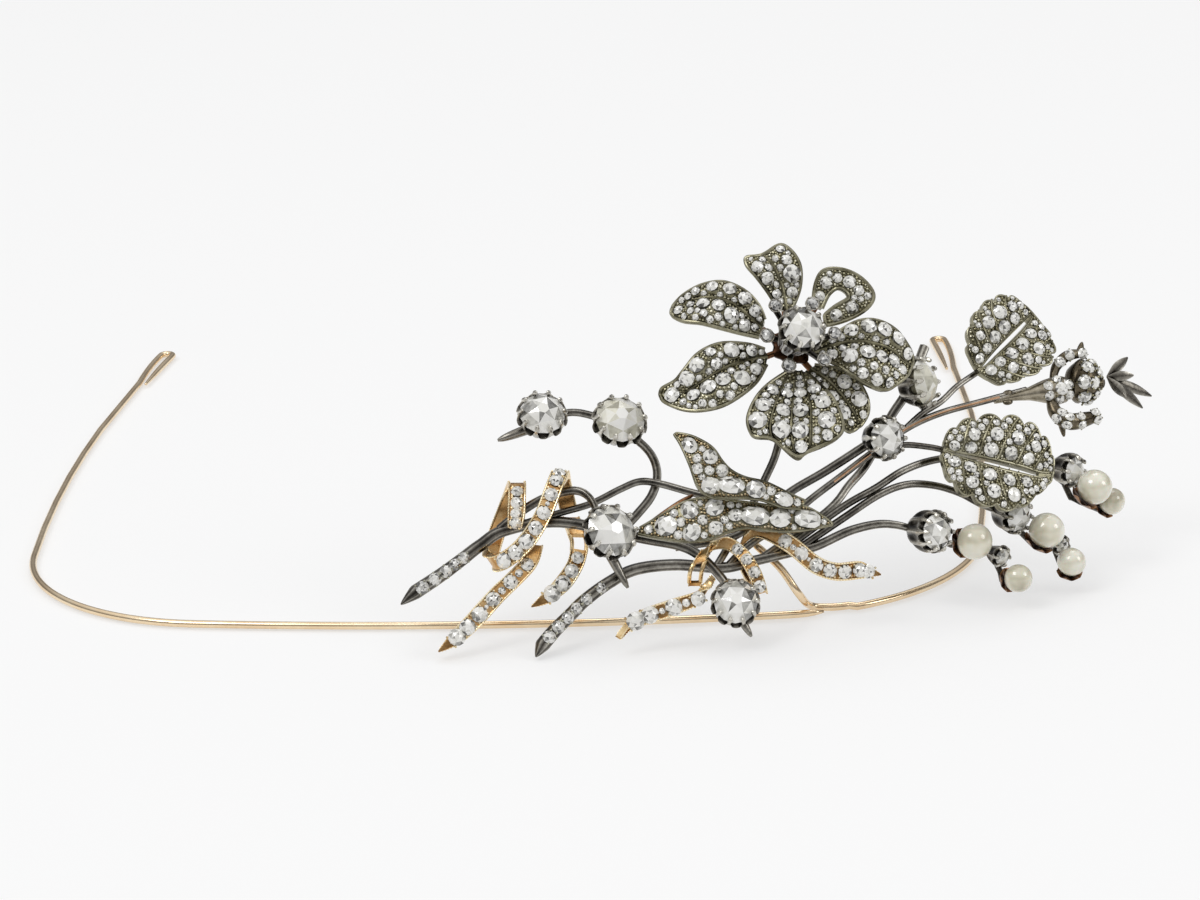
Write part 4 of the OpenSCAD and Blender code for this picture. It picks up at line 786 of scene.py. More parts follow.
def outline_of(edge, steps=70):
    """Shares t and places s along both sides and over the tip of a plate."""
    side, over = np.linspace(0, 1, steps), np.linspace(-1, 1, 16)[1:-1]
    t = np.concatenate([side, over * 0 + 1, side[::-1]])
    return t, edge(t, np.concatenate([side * 0 - 1, over, side * 0 + 1]))


def rim(shape, plate, edge, r=0.29, tone=0.45, steps=70, ease=4):
    """A raised edge round a plate, from its base along both sides and over the tip."""
    t, s = outline_of(edge, steps)
    path = plate.at(t, s * 0.985) + plate.normal(t, s * 0.97) * 0.08
    for _ in range(ease):
        path[1:-1] = 0.5 * path[1:-1] + 0.25 * (path[:-2] + path[2:])
    tube(shape, path, r, 10, tone)


def rib_line(shape, plate, t, s, first, last, tone, rise):
    """A raised rib over a plate, along shares t at places s across; gives its line on the plate."""
    line = plate.at(t, s)
    tube(shape, line + plate.normal(t, s) * rise, np.linspace(first, last, len(t)), 8, tone)
    return line


def distance(spots, points):
    """How far each spot is from the nearest of the points."""
    return np.sqrt(((spots[:, None, :] - points[None]) ** 2).sum(-1)).min(1)


def pave(grain_shape, stones, plate, rows, edge, lines, more, largest=0.6, odd=0.08, margin=0.32, least=0.38):
    """Fills a plate with stones: rows of [share along, [places across], diameter(, rise, length)] first,
    then smaller stones in the room left between them, then grains of metal in the rest. Lines are ribs to
    keep off, each with half its width. The rows' stones are more times as large, and uneven by odd. Largest
    and least are radii of the smaller stones, and margin stays free along the edge."""
    t, s = np.meshgrid(np.linspace(0.03, 0.985, 64), np.linspace(-0.97, 0.97, 45), indexing="ij")
    t, s = t.ravel(), edge(t, s).ravel()
    spots, normals = plate.at(t, s), plate.normal(t, s)
    border = np.concatenate([plate.at(*outline_of(edge)), plate.at(np.zeros(9), np.linspace(-1, 1, 9))])
    room = distance(spots, border) - margin
    for line, half in lines:
        room = np.minimum(room, distance(spots, line) - half)

    def fill(room, place, reach):
        return np.minimum(room, np.linalg.norm(spots - place, axis=1) - reach)

    placed = []
    for share, places, size, *rest in rows:
        rise, length = rest + [0, 0][len(rest):]
        for s in places:
            n, centre = plate.normal(share, s), plate.at(share, s)
            free = float(distance(centre[None], border)[0]) - margin + 0.14
            for line, half in lines:
                off = float(distance(centre[None], line)[0]) - half + 0.1
                free = min(free, off) if off > 0.3 else free
            for other, reach in placed:
                free = min(free, float(np.linalg.norm(centre - other)) - reach - 0.01)
            wide = length or rng.uniform(1 - odd, 1 + odd)
            d = min(size * UNIT * more, 2 * free)
            run = plate.at(min(share + 0.02, 1), s) - plate.at(share - 0.02, s)
            a, b = cross_of(n)
            spin = math.atan2(run @ b, run @ a) if length else None
            gem(stones, centre + n * (rise + 0.16), n, d, wide, spin, 0.08, rng.choice([0, 0, 0.06]))
            placed.append((centre, d / 2))
            for part in ((-0.5, 0, 0.5) if wide > 1.2 else (0,)):
                room = fill(room, centre + unit(run) * part * d * (wide - 1), d / 2 + 0.03)
    while room.max() >= least:
        k = int(np.argmax(room))
        r = min(room[k] + 0.03, largest * rng.uniform(0.85, 1.1))
        gem(stones, spots[k] + normals[k] * 0.12, normals[k], 2 * r, rng.uniform(0.94, 1.04), None, 0.1)
        room = fill(room, spots[k], r + 0.03)
    while room.max() >= 0.06:
        k = int(np.argmax(room))
        r = min(room[k] + 0.05, 0.23)
        bead(grain_shape, spots[k] + normals[k] * 0.16, normals[k], r, 6, rng.uniform(0.45, 1))
        room = fill(room, spots[k], r + 0.04)


def set_plate(name, shape, *how, grain_metal=GRAIN_SILVER):
    """Sets a plate with stones and grains, and makes its three pieces."""
    stones, grain_shape = Shape(), Shape()
    pave(grain_shape, stones, *how)
    piece(name + "_set", shape, SILVER, name)
    piece(name + "_grains", grain_shape, grain_metal, name)
    stones_piece(name + "_pave", stones, name + "_stones")


FOLD = [0, 0.2, -0.04, 0.2, 0]
TRIPLE_FOLD = [0, 0.12, 0.04, 0.12, 0.02, 0.12, 0.04, 0.12, 0]
HOLLOW = [0.05, 0.1, 0.05]
# Petals: ribs, relief, rows of stones
PETALS = {
    "a": ([
        [21.9, 17.4, 21.6, 16.3, 21.1, 15.1, 8.2], [21.1, 19.3, 19.7, 18, 18.4, 15.7, 8.8],
        [19.3, 21.2, 17.7, 19.5, 15.7, 16.4, 9.6], [16.5, 22.4, 15.2, 20.3, 13.3, 17, 9.6],
        [13.6, 22, 12.9, 20.1, 11.3, 17.2, 9], [11.2, 20.7, 11.1, 19.4, 10.1, 17.6, 8.2],
        [9.9, 19.4, 9.6, 18.8, 9.5, 18.1, 7.6],
    ], FOLD, [
        [0.15, [-0.5, 0.5], 1.3], [0.29, [-0.55, 0.4], 1.7], [0.43, [-0.6, 0.25, 0.74], 1.7],
        [0.57, [-0.6, 0.25, 0.74], 1.6], [0.71, [-0.58, 0.22, 0.72], 1.45], [0.86, [-0.5, 0.4], 1.4],
    ]),
    "b": ([
        [21.9, 13.4, 22.3, 12.5, 22.1, 11.4, 8.2], [19.6, 14.1, 19.9, 12.1, 20.9, 9.2, 8.8],
        [16, 14.2, 17.2, 11.2, 18.9, 7.4, 10], [13.1, 12.9, 14.8, 9.9, 16.3, 5.9, 10.4],
        [11.3, 10.8, 12.7, 8.5, 13.3, 5.3, 10.2], [10, 9.2, 10.4, 7.3, 10.9, 5.5, 9.6],
        [8.3, 8.4, 8, 7.4, 8.5, 6.4, 9.2],
    ], FOLD, [
        [0.14, [-0.5, 0.5], 1.4], [0.28, [-0.55, 0.5], 1.8], [0.42, [-0.72, -0.27, 0.28, 0.74], 1.6],
        [0.56, [-0.6, 0.27, 0.75], 1.8], [0.7, [-0.5, 0.3, 0.76], 1.7], [0.88, [0], 2.8, 0.4],
    ]),
    "c": ([
        [24.8, 10.3, 25.4, 10.5, 26.1, 10.6, 26.8, 10.6, 27.4, 10.4, 8.2],
        [22.4, 8.7, 24.2, 8.2, 25.8, 8, 27.5, 8.2, 29.2, 8.8, 9],
        [20.7, 6.8, 23.2, 5.6, 25.6, 5.2, 28, 6, 30.9, 7.1, 10.4],
        [19.7, 4.4, 22.7, 3.4, 25.5, 2.6, 28, 3.4, 32, 4.9, 11],
        [20, 2.6, 22.8, 2.1, 25.8, 0.5, 27.9, 1.2, 32.4, 3.1, 11],
        [20.9, 1.7, 23.1, 1.6, 26.2, -0.9, 27.9, 0, 31.8, 1.4, 10.8],
    ], TRIPLE_FOLD, [
        [0.24, [-0.72, -0.25, 0.25, 0.72], 1.3], [0.4, [-0.25], 1.5], [0.42, [-0.75, 0.25, 0.75], 1.6],
        [0.6, [-0.75], 2.2], [0.62, [-0.25], 3, 0.1], [0.62, [0.25, 0.75], 1.8],
        [0.82, [-0.75, 0.25, 0.75], 1.7], [0.86, [-0.25], 1.7],
    ]),
    "d": ([
        [28.4, 13.7, 28.5, 13.1, 28.9, 12.4, 8.2], [31.3, 15.4, 31.3, 14, 31.2, 11.7, 9],
        [34.2, 17.1, 34.3, 14.5, 33.6, 10.1, 9.8], [36.8, 17.3, 36.9, 14.1, 35.7, 8.8, 9.8],
        [39.3, 16.1, 38.9, 13.3, 37.9, 8, 9.2], [41, 13.9, 40.4, 11.9, 39.3, 8.7, 8.4],
        [41.7, 12.4, 41.5, 11.2, 40.9, 9.8, 7.8],
    ], FOLD, [
        [0.15, [-0.5, 0.5], 1.3], [0.29, [-0.55, 0.45], 1.7], [0.43, [-0.6, 0.26, 0.74], 1.7],
        [0.57, [-0.6, 0.26, 0.74], 1.8], [0.71, [-0.6, 0.24, 0.74], 1.8], [0.86, [-0.5, 0.34], 1.5],
    ]),
    "e": ([
        [28.4, 19.6, 29, 19.2, 29.6, 18.9, 8], [28.7, 22.1, 29.6, 21.3, 30.4, 20.6, 8.2],
        [29.8, 24, 30.7, 22.8, 31.4, 21.5, 8.8], [32.4, 24.1, 32.4, 22.8, 32.2, 21.5, 9],
        [34.9, 22.9, 33.9, 21.9, 32.9, 21, 9], [36.5, 20.8, 34.8, 20.6, 33.1, 20.4, 8.8],
        [35.7, 19, 34.2, 19.5, 32.7, 20, 8.6], [33.3, 17.5, 32.4, 18.4, 31.5, 19.3, 8.2],
        [30.2, 16.4, 30, 17.3, 29.9, 18.2, 8],
    ], HOLLOW, [[0.08 + 0.12 * k, [0], 1.3 if k % 7 < 2 else 1.35] for k in range(8)]),
    "f": ([
        [23.8, 18.9, 24.8, 18.6, 25.6, 19, 8.2], [22.4, 21.1, 24.4, 21.2, 26.6, 21.6, 8.6],
        [20.9, 23.1, 23.6, 23.6, 26.7, 24.3, 9.2], [19.6, 24.6, 22.6, 25.2, 25.8, 26.2, 9.2],
        [19.3, 25.8, 21.6, 26, 24.1, 27.7, 8.8],
    ], FOLD, [
        [0.22, [-0.45, 0.5], 1.4], [0.45, [-0.5, 0.54], 1.8], [0.68, [-0.56, 0.54], 1.9],
        [0.89, [-0.62, 0.66], 1.7],
    ]),
    "g": ([
        [28.6, 11.3, 28, 10.8, 27.5, 10.2, 6.2], [31.3, 10.9, 30.3, 9.3, 29, 7.7, 6.7],
        [34, 9.5, 32.2, 7.3, 30.2, 5.6, 7], [35.5, 7.2, 33.6, 5.3, 31.5, 4, 7.2],
        [35.7, 5.1, 34.2, 4, 32.5, 3, 7], [34.9, 3.5, 34.2, 2.9, 33.3, 2.4, 6.8],
    ], FOLD, [
        [0.34, [-0.5, 0.4], 1.5], [0.56, [-0.52, 0.4], 1.7], [0.78, [-0.5, 0.4], 1.5],
    ]),
}


def make_petals():
    for key, (ribs, relief, rows) in PETALS.items():
        plate, shape, lines = Plate(ribs, relief), Shape(), []
        plate_body(shape, plate, 45, np.linspace(-1, 1, 33), round_edge)
        rim(shape, plate, round_edge)
        if relief is FOLD:
            t = np.linspace(0.01, 0.78 if key == "b" else 0.93, 40)
            lines = [(rib_line(shape, plate, t, 0.0, 0.4, 0.2, 0.22, 0.16), 0.25)]
        if relief is TRIPLE_FOLD:
            t = np.linspace(0.01, 0.99, 40)
            lines = [(rib_line(shape, plate, t, s, 0.2, 0.3, 0.25, 0.12), 0.22) for s in (-0.5, 0.0, 0.5)]
        set_plate("petal_" + key, shape, plate, rows, round_edge, lines, 1.3)


# Leaves: ribs, and how far the side veins sweep on from row to row
LEAVES = {
    "leaf_upper": ([
        [50, 11.2, 50.4, 10.6, 50.7, 10.2, 1.9], [49, 13.4, 51.5, 11.6, 53.4, 8.8, 2.4],
        [49.1, 16.3, 52.9, 13.1, 56.1, 9.4, 2.8], [50.3, 18.8, 54.4, 14.6, 59, 10.7, 3],
        [52.4, 20.4, 55.9, 16.1, 60.7, 12.6, 3], [54.7, 20.6, 57.1, 17.4, 60.1, 15.2, 2.6],
        [56.6, 19.3, 57.7, 18.2, 58.8, 16.8, 2.2],
    ], 0.06),
    "leaf_lower": ([
        [45.9, 0.7, 45.8, 0, 45.6, -0.7, 4], [46.6, 2.6, 47.6, -0.5, 46.4, -3.6, 4.8],
        [49.2, 4.3, 50.4, -1.2, 48.7, -6.1, 5.4], [53.1, 4.8, 53.5, -2, 52.4, -7.8, 5.6],
        [56.8, 4.1, 56.3, -2.7, 55.8, -7.9, 5.4], [59.3, 1.9, 58.7, -3.3, 58.5, -5.8, 5],
        [60.5, -0.9, 60.4, -3.1, 60, -4.4, 4.6],
    ], 0.05),
}
LEAF_CREST = [0, 0.1, -0.06, 0.1, 0]
# Rows of stones along the side veins: [share along, number on each side, diameter]
LEAF_ROWS = [[0.16, 2, 1.2], [0.29, 3, 1.25], [0.43, 3, 1.4], [0.57, 3, 1.4], [0.71, 3, 1.2], [0.87, 1, 1.3]]
# The slit between two columns: column, first row, last row
LEAF_COLUMNS = np.concatenate([np.linspace(-1, -0.045, 18), np.linspace(0.045, 1, 18)])
LEAF_SLIT = (17, 9, 81)


def leaf_edge(t, s):
    """Rounded teeth, one for each row of stones."""
    bite = 0.24 * (1 - np.abs(np.sin(math.pi * (t - 0.235) / 0.14)) ** 0.7) * np.clip((t - 0.05) / 0.1, 0, 1)
    return round_edge(t, s * (1 - bite * np.clip((np.abs(s) - 0.5) / 0.5, 0, 1)))


def make_leaves():
    for name, (ribs, sweep) in LEAVES.items():
        plate, shape = Plate(ribs, LEAF_CREST), Shape()
        plate_body(shape, plate, 100, LEAF_COLUMNS, leaf_edge, LEAF_SLIT)
        rim(shape, plate, leaf_edge, 0.17, 0.55, 140, 1)
        t = np.linspace(0.0, 0.93, 50)
        lines = [(plate.at(t, 0.0), 0.3)]
        lines += [(rib_line(shape, plate, t, s, 0.2, 0.12, 0.5, 0.05), 0.18) for s in (-0.09, 0.09)]
        s = np.linspace(0.1, 0.93, 16)
        for (a, *_), (b, *_) in zip(LEAF_ROWS, LEAF_ROWS[1:]):
            t = (a + b) / 2 + sweep * 3 / 0.84 * (s - 0.26)
            t, vein = t[t < 0.97], s[t < 0.97]
            for side in (-1, 1):
                lines.append((rib_line(shape, plate, t, side * vein, 0.19, 0.15, 0.4, 0.12), 0.14))
        rows = [[share + sweep * k, [side * (0.12 + 0.84 * (k + 0.5) / number)], d]
                for share, number, d in LEAF_ROWS for side in (-1, 1) for k in range(number)]
        set_plate(name, shape, plate, rows, leaf_edge, lines, 1.4, 0.55, 0.1, 0.22, 0.36)


# Curled leaves: ribs, rows of stones
CURLS = {
    "curl_upper": ([
        [26.6, -7.8, 27.1, -7.3, 27.4, -6.8, 5.4], [24.4, -7.6, 24.8, -6.7, 25.2, -5.8, 6],
        [21.3, -6.6, 21.7, -5.5, 22.1, -4.3, 6.4], [18, -6.4, 18.8, -4.9, 19.5, -3.7, 6.6],
        [15.4, -6.4, 16.4, -4.4, 17.6, -2.8, 6.6], [13.2, -5.2, 14.7, -2.9, 16.3, -1.5, 7],
        [11.9, -1.9, 13.2, -0.7, 14.9, 0.4, 7.4], [10.8, 0.6, 11.6, 1.1, 12.4, 1.8, 7.2],
        [9.9, 2, 10, 2.1, 10.3, 2.3, 6.8],
    ], [
        [0.14, [0], 1.6, 0, 1.4], [0.29, [0], 2.4, 0, 1.15], [0.44, [0], 1.9, 0, 1.6],
        [0.57, [-0.45, 0.5], 1.9], [0.7, [-0.5, 0.45], 2.1], [0.84, [-0.1], 1.8, 0, 1.35],
    ]),
    "curl_lower": ([
        [5.1, -11.2, 5.1, -10.8, 5.3, -10.4, 3], [8, -11.8, 8, -10.3, 8, -8.8, 3.8],
        [11.2, -12.2, 11.1, -9.7, 10.8, -7.1, 4.2], [14.3, -12, 14.1, -9.3, 13.7, -6.4, 4.4],
        [16.9, -11, 17.1, -8.8, 17.1, -6.7, 4.4], [19.6, -10.4, 19.7, -8.7, 19.9, -7, 4.4],
        [22.9, -10.8, 22.9, -9.1, 22.9, -7.4, 4.4], [26.3, -10.8, 26.5, -9.1, 26.8, -7.4, 4.2],
        [28.8, -10.4, 29.1, -9.5, 29.2, -8.5, 3.8], [30.8, -10, 30.9, -9.9, 30.8, -9.6, 3.4],
    ], [
        [0.14, [0], 2.3, 0, 1.1], [0.26, [-0.48, 0.48], 2.1], [0.38, [-0.48, 0.48], 2.0],
        [0.485, [0], 1.7], [0.59, [0], 2.2, 0, 1.5], [0.7, [0], 2.2, 0, 1.1], [0.82, [0], 2.1, 0, 1.5],
    ]),
}
CURL = [0.1, 0.14, 0.2, 0.14, 0.1]
ROLLED_EDGE = [[5.2, -10.7, 2.6], [6.9, -9.6, 3.2], [8.9, -8.2, 3.7], [10.8, -6.9, 4], [12.4, -6, 4]]


def make_curls():
    for name, (ribs, rows) in CURLS.items():
        plate, shape = Plate(ribs, CURL), Shape()
        plate_body(shape, plate, 70, np.linspace(-1, 1, 21), round_edge)
        rim(shape, plate, round_edge, 0.2, steps=90)
        set_plate(name, shape, plate, rows, round_edge, (), 1.2, 0.75, 0.18, 0.2, 0.4, grain_metal=GRAIN_GOLD)
    rolled, share = Shape(), np.linspace(0, 1, 40)
    tube(rolled, on(ROLLED_EDGE, share), 0.15 + 0.25 * np.sin(share * math.pi) ** 0.6)
    piece("curl_rolled_edge", rolled, ROSE_GOLD, "curl_lower")


# Gold ribbon: each row is [right, up, lift, half width right, half width up]
RIBBONS = {
    "ribbon_left_loop": [
        [-4.2, -8, -2.6, 1, 0.1], [-5, -4.6, -0.6, 1, 0.1], [-5.3, -3.3, 1.6, 1, 0],
        [-6, -4.6, 3, 1, -0.1], [-7.8, -9, 3.4, 0.9, -0.35], [-10.2, -12.6, 3.2, 0.8, -0.6],
        [-13, -14.8, 2.4, 0.5, -0.85], [-14.6, -14.6, -0.2, 0.6, -0.8], [-14, -11.8, -2.7, 0.9, -0.3],
        [-12.8, -8.4, -2.7, 1, 0], [-11.6, -5.4, -1.2, 1, 0], [-11.1, -4.7, 0.6, 1, 0],
        [-11.1, -6, 2, 1, 0], [-11.2, -8.6, 2, 1, 0], [-11.4, -10.4, 1.8, 0.8, 0],
    ],
    "ribbon_left_tail": [
        [-8.8, -12.8, 0.6, 1, -0.1], [-9.8, -15.4, 1.4, 0.9, -0.4], [-13.8, -19.4, 2, 0.75, -0.65],
        [-16.9, -22.8, 2.2, 0.75, -0.65], [-19.4, -25.2, 2.2, 0.5, -0.6],
        [-21.6, -26.9, 2.2, 0.05, -0.08],
    ],
    "ribbon_left_short": [
        [-3.9, -9.2, -2.9, 1, 0], [-3.3, -10.8, -1.8, 1, 0], [-2.8, -12.6, -0.4, 1, -0.1],
        [-3.3, -15.2, 0.4, 0.9, -0.3], [-5, -17.8, 0.8, 0.75, -0.6], [-7.2, -19.7, 1, 0.3, -0.6],
        [-9.2, -20.9, 1, 0.03, -0.08],
    ],
    "ribbon_right_loop": [
        [12.6, -18, 0.6, 0.75, 0], [12.9, -15.8, 2, 0.8, 0.1], [14.4, -13.2, 2, 0.6, 0.5],
        [16.7, -12.4, 2, 0.3, 0.7], [18.9, -13.8, 2.4, 0.6, 0.45], [20.6, -16.4, 2.6, 0.7, 0.3],
        [21.4, -18.8, 1.6, 0.7, 0.2], [20.4, -17.4, -1.8, 0.8, 0.2], [18.4, -13, -2.4, 0.8, 0.2],
    ],
    "ribbon_right_tail": [
        [14.4, -17.6, 2.6, 0.6, 0.6], [13.2, -19.6, 3, 0.4, 0.9], [9.6, -21, 3, 0.1, 1],
        [6, -22.2, 3, 0.2, 1], [4.1, -23.1, 3, 0.45, 0.95], [2.4, -25, 3, 0.05, 0.08],
    ],
    "ribbon_right_upper": [
        [18.8, -12.2, 1.4, 0.3, 0.7], [21.4, -10.6, 1.8, 0.4, 0.9], [25.4, -12.6, 2.2, 0.5, 0.85],
        [28.6, -15.2, 2.4, 0.35, 0.95], [31.4, -16.2, 2.2, 0.1, 1], [34.6, -16, 2, 0, 1],
        [36.2, -16.3, 2, 0, 0.5], [37.4, -16.6, 2, 0, 0.08],
    ],
}
# Stones on the ribbons: [ribbon, from, to, number, first and last diameter, side]
RIBBON_STONES = {
    "ribbon_left_stones": [
        ["ribbon_left_loop", 0.17, 0.42, 8, 1.5, 1.8, 1], ["ribbon_left_loop", 0.85, 0.97, 4, 1.4, 1.3, 1],
        ["ribbon_left_tail", 0.2, 0.78, 6, 1.5, 1.9, 1], ["ribbon_left_short", 0.46, 0.78, 4, 1.4, 2, 1]],
    "ribbon_right_stones": [
        ["ribbon_right_loop", 0.47, 0.7, 4, 1.3, 1.4, 1], ["ribbon_right_tail", 0.22, 0.73, 4, 1.7, 2.1, -1],
        ["ribbon_right_upper", 0.26, 0.8, 7, 1.5, 1.6, 1]],
}
# Where a strip is open between its two edges: from, to
WINDOWS = {"ribbon_left_short": (0.225, 0.39), "ribbon_right_loop": (0.035, 0.16)}
# Cross-section: (share of half the width, share of half the thickness, tone), the front and then the back
RIM_SECTION = [(-1, 0.5, 0.6), (-0.98, 1.1, 0.8), (-0.9, 1.3, 0.95), (-0.8, 1.2, 0.75), (-0.72, 0.8, 0.38),
               (0.72, 0.8, 0.38), (0.8, 1.2, 0.75), (0.9, 1.3, 0.95), (0.98, 1.1, 0.8), (1, 0.5, 0.6)]
RIM_SECTION += [(x, -y, tone) for x, y, tone in reversed(RIM_SECTION)]
RIM_TONES = [tone for _, _, tone in RIM_SECTION]
MILL_RISE = RIBBON_T / 2 * 1.25


def strip(rows, t):
    """A ribbon at shares t: its middle, half its width, its normal and its run."""
    run = on(rows, np.minimum(t + 0.01, 1)) - on(rows, np.maximum(t - 0.01, 0))
    row = along(rows, t)
    half = (row[..., 3:4] * RIGHT + row[..., 4:5] * UP) * RIBBON_W / 2
    return at(row), half, unit(np.cross(run, half)), unit(run)


def set_ribbon(stones, beads, rows, start, end, number, first, last, side):
    """A row of stones with a bead at each corner, and a small stone in the room left between two."""
    before, before_d = None, 0
    for share in np.arange(number) / (number - 1):
        middle, _, n, run = strip(rows, start + (end - start) * share)
        n = n * side
        d = (first + (last - first) * share) * UNIT * 1.2
        place = middle + n * (RIBBON_T / 2 + 0.05)
        gem(stones, place, n, d, rng.uniform(0.95, 1.08))
        for x in (-0.85, 0.85):
            for y in (-0.72, 0.72):
                spot = place + 0.5 * d * (run * x + np.cross(n, run) * y)
                bead(beads, spot, n, 0.2, 6, rng.uniform(0.6, 1))
        if before is not None:
            way = place - before
            room = np.linalg.norm(way) - (d + before_d) / 2
            if room > 0.6:
                between = (place + before + unit(way) * (before_d - d) / 2) / 2 - n * 0.02
                gem(stones, between, n, min(room * 0.92, 1.15), rng.uniform(0.95, 1.08))
        before, before_d = place, d


def mill(shape, rows, t):
    """Fine beads along both edges of a ribbon, front and back."""
    middle, half, n, _ = strip(rows, t)
    for side in (-0.9, 0.9):
        line = middle + half * side + n * MILL_RISE
        length = np.concatenate([[0], np.cumsum(np.linalg.norm(np.diff(line, axis=0), axis=1))])
        shares = np.interp(np.arange(0.3, length[-1] - 0.2, 0.42), length, t)
        for place, out, up, _ in zip(*strip(rows, shares)):
            for face in (1, -1):
                bead(shape, place + out * side + up * MILL_RISE * face, up * face, 0.1, 5, 0.75)


def make_ribbons():
    shapes = {name: Shape() for name in RIBBONS}
    for name, runs in RIBBON_STONES.items():
        stones = Shape()
        for ribbon, *how in runs:
            set_ribbon(stones, shapes[ribbon], RIBBONS[ribbon], *how)
        stones_piece(name + "_cut", stones, name)
    for name, rows in RIBBONS.items():
        shape, count = shapes[name], 14 * (len(rows) - 1)
        first, last = WINDOWS.get(name, (0.0, 0.0))
        for start, end in ((0.0, first), (last, 1.0)):
            steps = round(count * (end - start))
            if steps:
                middle, half, n, _ = strip(rows, np.linspace(start, end, steps + 1))
                rings = [middle + half * x + n * (RIBBON_T / 2 * y) for x, y, _ in RIM_SECTION]
                loft(shape, np.stack(rings, axis=1), np.tile(RIM_TONES, steps + 1))
        if last:
            middle, half, _, _ = strip(rows, np.linspace(first - 0.01, last + 0.01, 16))
            for side in (-0.8, 0.8):
                tube(shape, middle + half * side, 0.3, 10, 0.7)
        mill(shape, rows, np.linspace(0, 1, count + 1))
        piece(name + "_strip", shape, RIBBON_GOLD, name)


# Flower centre: its hub, and the stamens as [right, up, lift, diameter of the stone]
HUB = [25.4, 13.7, 5]
STAMENS = [[23.4, 19.3, 12.4, 1.5], [28.3, 19.6, 12.8, 1.5], [31.3, 15.6, 12.6, 1.5],
           [29.9, 12.1, 12.6, 1.5], [25.2, 11.3, 12.6, 1.6], [22.3, 15.3, 12.4, 1.6]]
# Where the hub's arms reach a petal: petal, share along it
ARMS = [(key, 0.14) for key in "abcdfg"] + [("e", 0.05), ("e", 0.95)]


def make_flower_centre():
    n, hub, back = facing(FLOWER[3]), at(HUB), Shape()
    turned(back, hub, n, [(0.2, -0.1), (2.7, 0.0), (2.9, 0.3), (2.9, 0.6), (2.5, 0.9), (1.2, 1.1)], 56,
           0.02, 0, 7, 0.09)
    for key, share in ARMS:
        plate = Plate(*PETALS[key][:2])
        end = plate.at(share, 0.0) - plate.normal(share, 0.0) * (PLATE_T + 0.45 + FIT_GAP * 2)
        tube(back, bowed(hub, end, np.linspace(0, 1, 12)), 0.45)
        bead(back, end, OUT, 0.47, 12, 0.6)
    piece("flower_back_arms", back, ROSE_GOLD, "flower_back")
    cup, stones = Shape(), Shape()
    collet(cup, FLOWER, 10, 0.45)
    foot = hub + n * (0.9 + 0.35 + FIT_GAP)
    turned(cup, foot, n, [(0.9, -0.35), (0.9, 0.1), (0.6, 0.4), (0.7, 1.2), (1.2, 2.2)], 24, 0.3)
    tube(cup, [foot, foot_of(FLOWER) + n * 0.5], 0.9, 16, 0.3)
    for *place, size in STAMENS:
        top, d = at(place), size * UNIT
        low = top - n * 0.8
        tube(cup, bowed(foot, low, np.linspace(0, 1, 10), 0.3, n), 0.42, 10, 0.3)
        profile = [(0.35, -0.1), (0.6, 0.15), (d / 2 + 0.18, 0.6), (d / 2 + 0.2, 0.85), (d / 2 + 0.05, 0.85),
                   (d / 2 - 0.1, 0.7)]
        turned(cup, low, n, profile, 24, 0.35, 0.4, 6, 0.03)
        gem(stones, top + n * 0.12, n, d)
        grains(cup, top + n * 0.1, n, d, 4, 0.15)
    piece("flower_collet_fluted", cup, DARK_SILVER, "flower_collet")
    stones_piece("stamen_stones_cut", stones, "stamen_stones", GREY_DIAMOND)
    large_stone("flower_stone", FLOWER)


# Bud
BERRY_PLACE, BERRY_R, BUD_END = [64, 9.2, 1.4], 3.1, [67.6, 9.8, 1.2]
BUD_FACING = facing([0.93, -0.1, 0.35])
# The berry's profile: (radius, height as a share of its radius)
BERRY_PROFILE = [(1.5, -0.62), (1.65, -0.6), (2.2, -0.45), (2.95, -0.2), (3.2, -0.08), (3.22, 0.04),
                 (3.06, 0.1), (2.95, 0.3), (2.48, 0.6), (1.63, 0.85), (0.75, 0.97), (0.6, 1.0),
                 (0.6, 1.15), (0.3, 1.18)]
# Rings of stones on the berry: (rise, number, turn in steps, diameter)
BERRY_STONES = [(27, 7, 0.5, 2.0), (60, 4, 0, 1.7)]
# Tips of the leaflets beyond the berry, and their cross-section: (share of half the width, depth, tone)
BUD_LEAVES = [[70.4, 12.4, 1.6], [71.2, 10, 2.6], [73.6, 7.2, 1.4], [70.2, 7, 3], [72.4, 5.6, 0.6]]
LEAFLET_SECTION = [(-1, 0, 0.75), (-0.5, 0.12, 0.5), (0, 0.42, 0.3), (0.5, 0.12, 0.5), (1, 0, 0.75),
                   (0.5, -0.3, 0.4), (0, -0.42, 0.3), (-0.5, -0.3, 0.4)]
TRUMPET = [[52.6, 6.6, 0.7], [55, 7.1, 0.9], [57.2, 7.5, 1.1], [59.2, 7.8, 1.4], [61, 8, 1.6],
           [62.3, 8.1, 1.7]]
# Stones on the trumpet: (share along, turn round it, diameter)
TRUMPET_STONES = [(0.62, -28, 1.5), (0.62, 24, 1.5), (0.76, -52, 1.6), (0.78, -5, 1.9), (0.76, 44, 1.6),
                  (0.91, -24, 1.6), (0.92, 28, 1.5)]
# Lobes round the berry: places, radii, stones along each, turns of their rows, their diameter
BUD_LOBES = [
    ([[60.4, 9.4, 1.6], [60.9, 11.2, 1.8], [62.4, 12.6, 2.2], [64.6, 12.9, 2.2]], 0.45, 0.8, 3, (0,), 1.6),
    ([[60.2, 6.6, 1.8], [60.9, 4.9, 2.2], [63, 3.8, 2.8], [66.7, 4.7, 2.6]], 0.6, 1.25, 4, (-34, 34), 1.45)]
BUD_PRONGS = [[[63.9, 12.6, 2], [64.3, 14.4, 2]], [[61.3, 4.9, 2], [61.9, 1.8, 1.8]]]
STEM_SCROLLS = [[[53.9, 7.55, 1.1], [54.9, 7.75, 1.2]], [[53.9, 6.35, 0.9], [54.9, 6.45, 1]]]


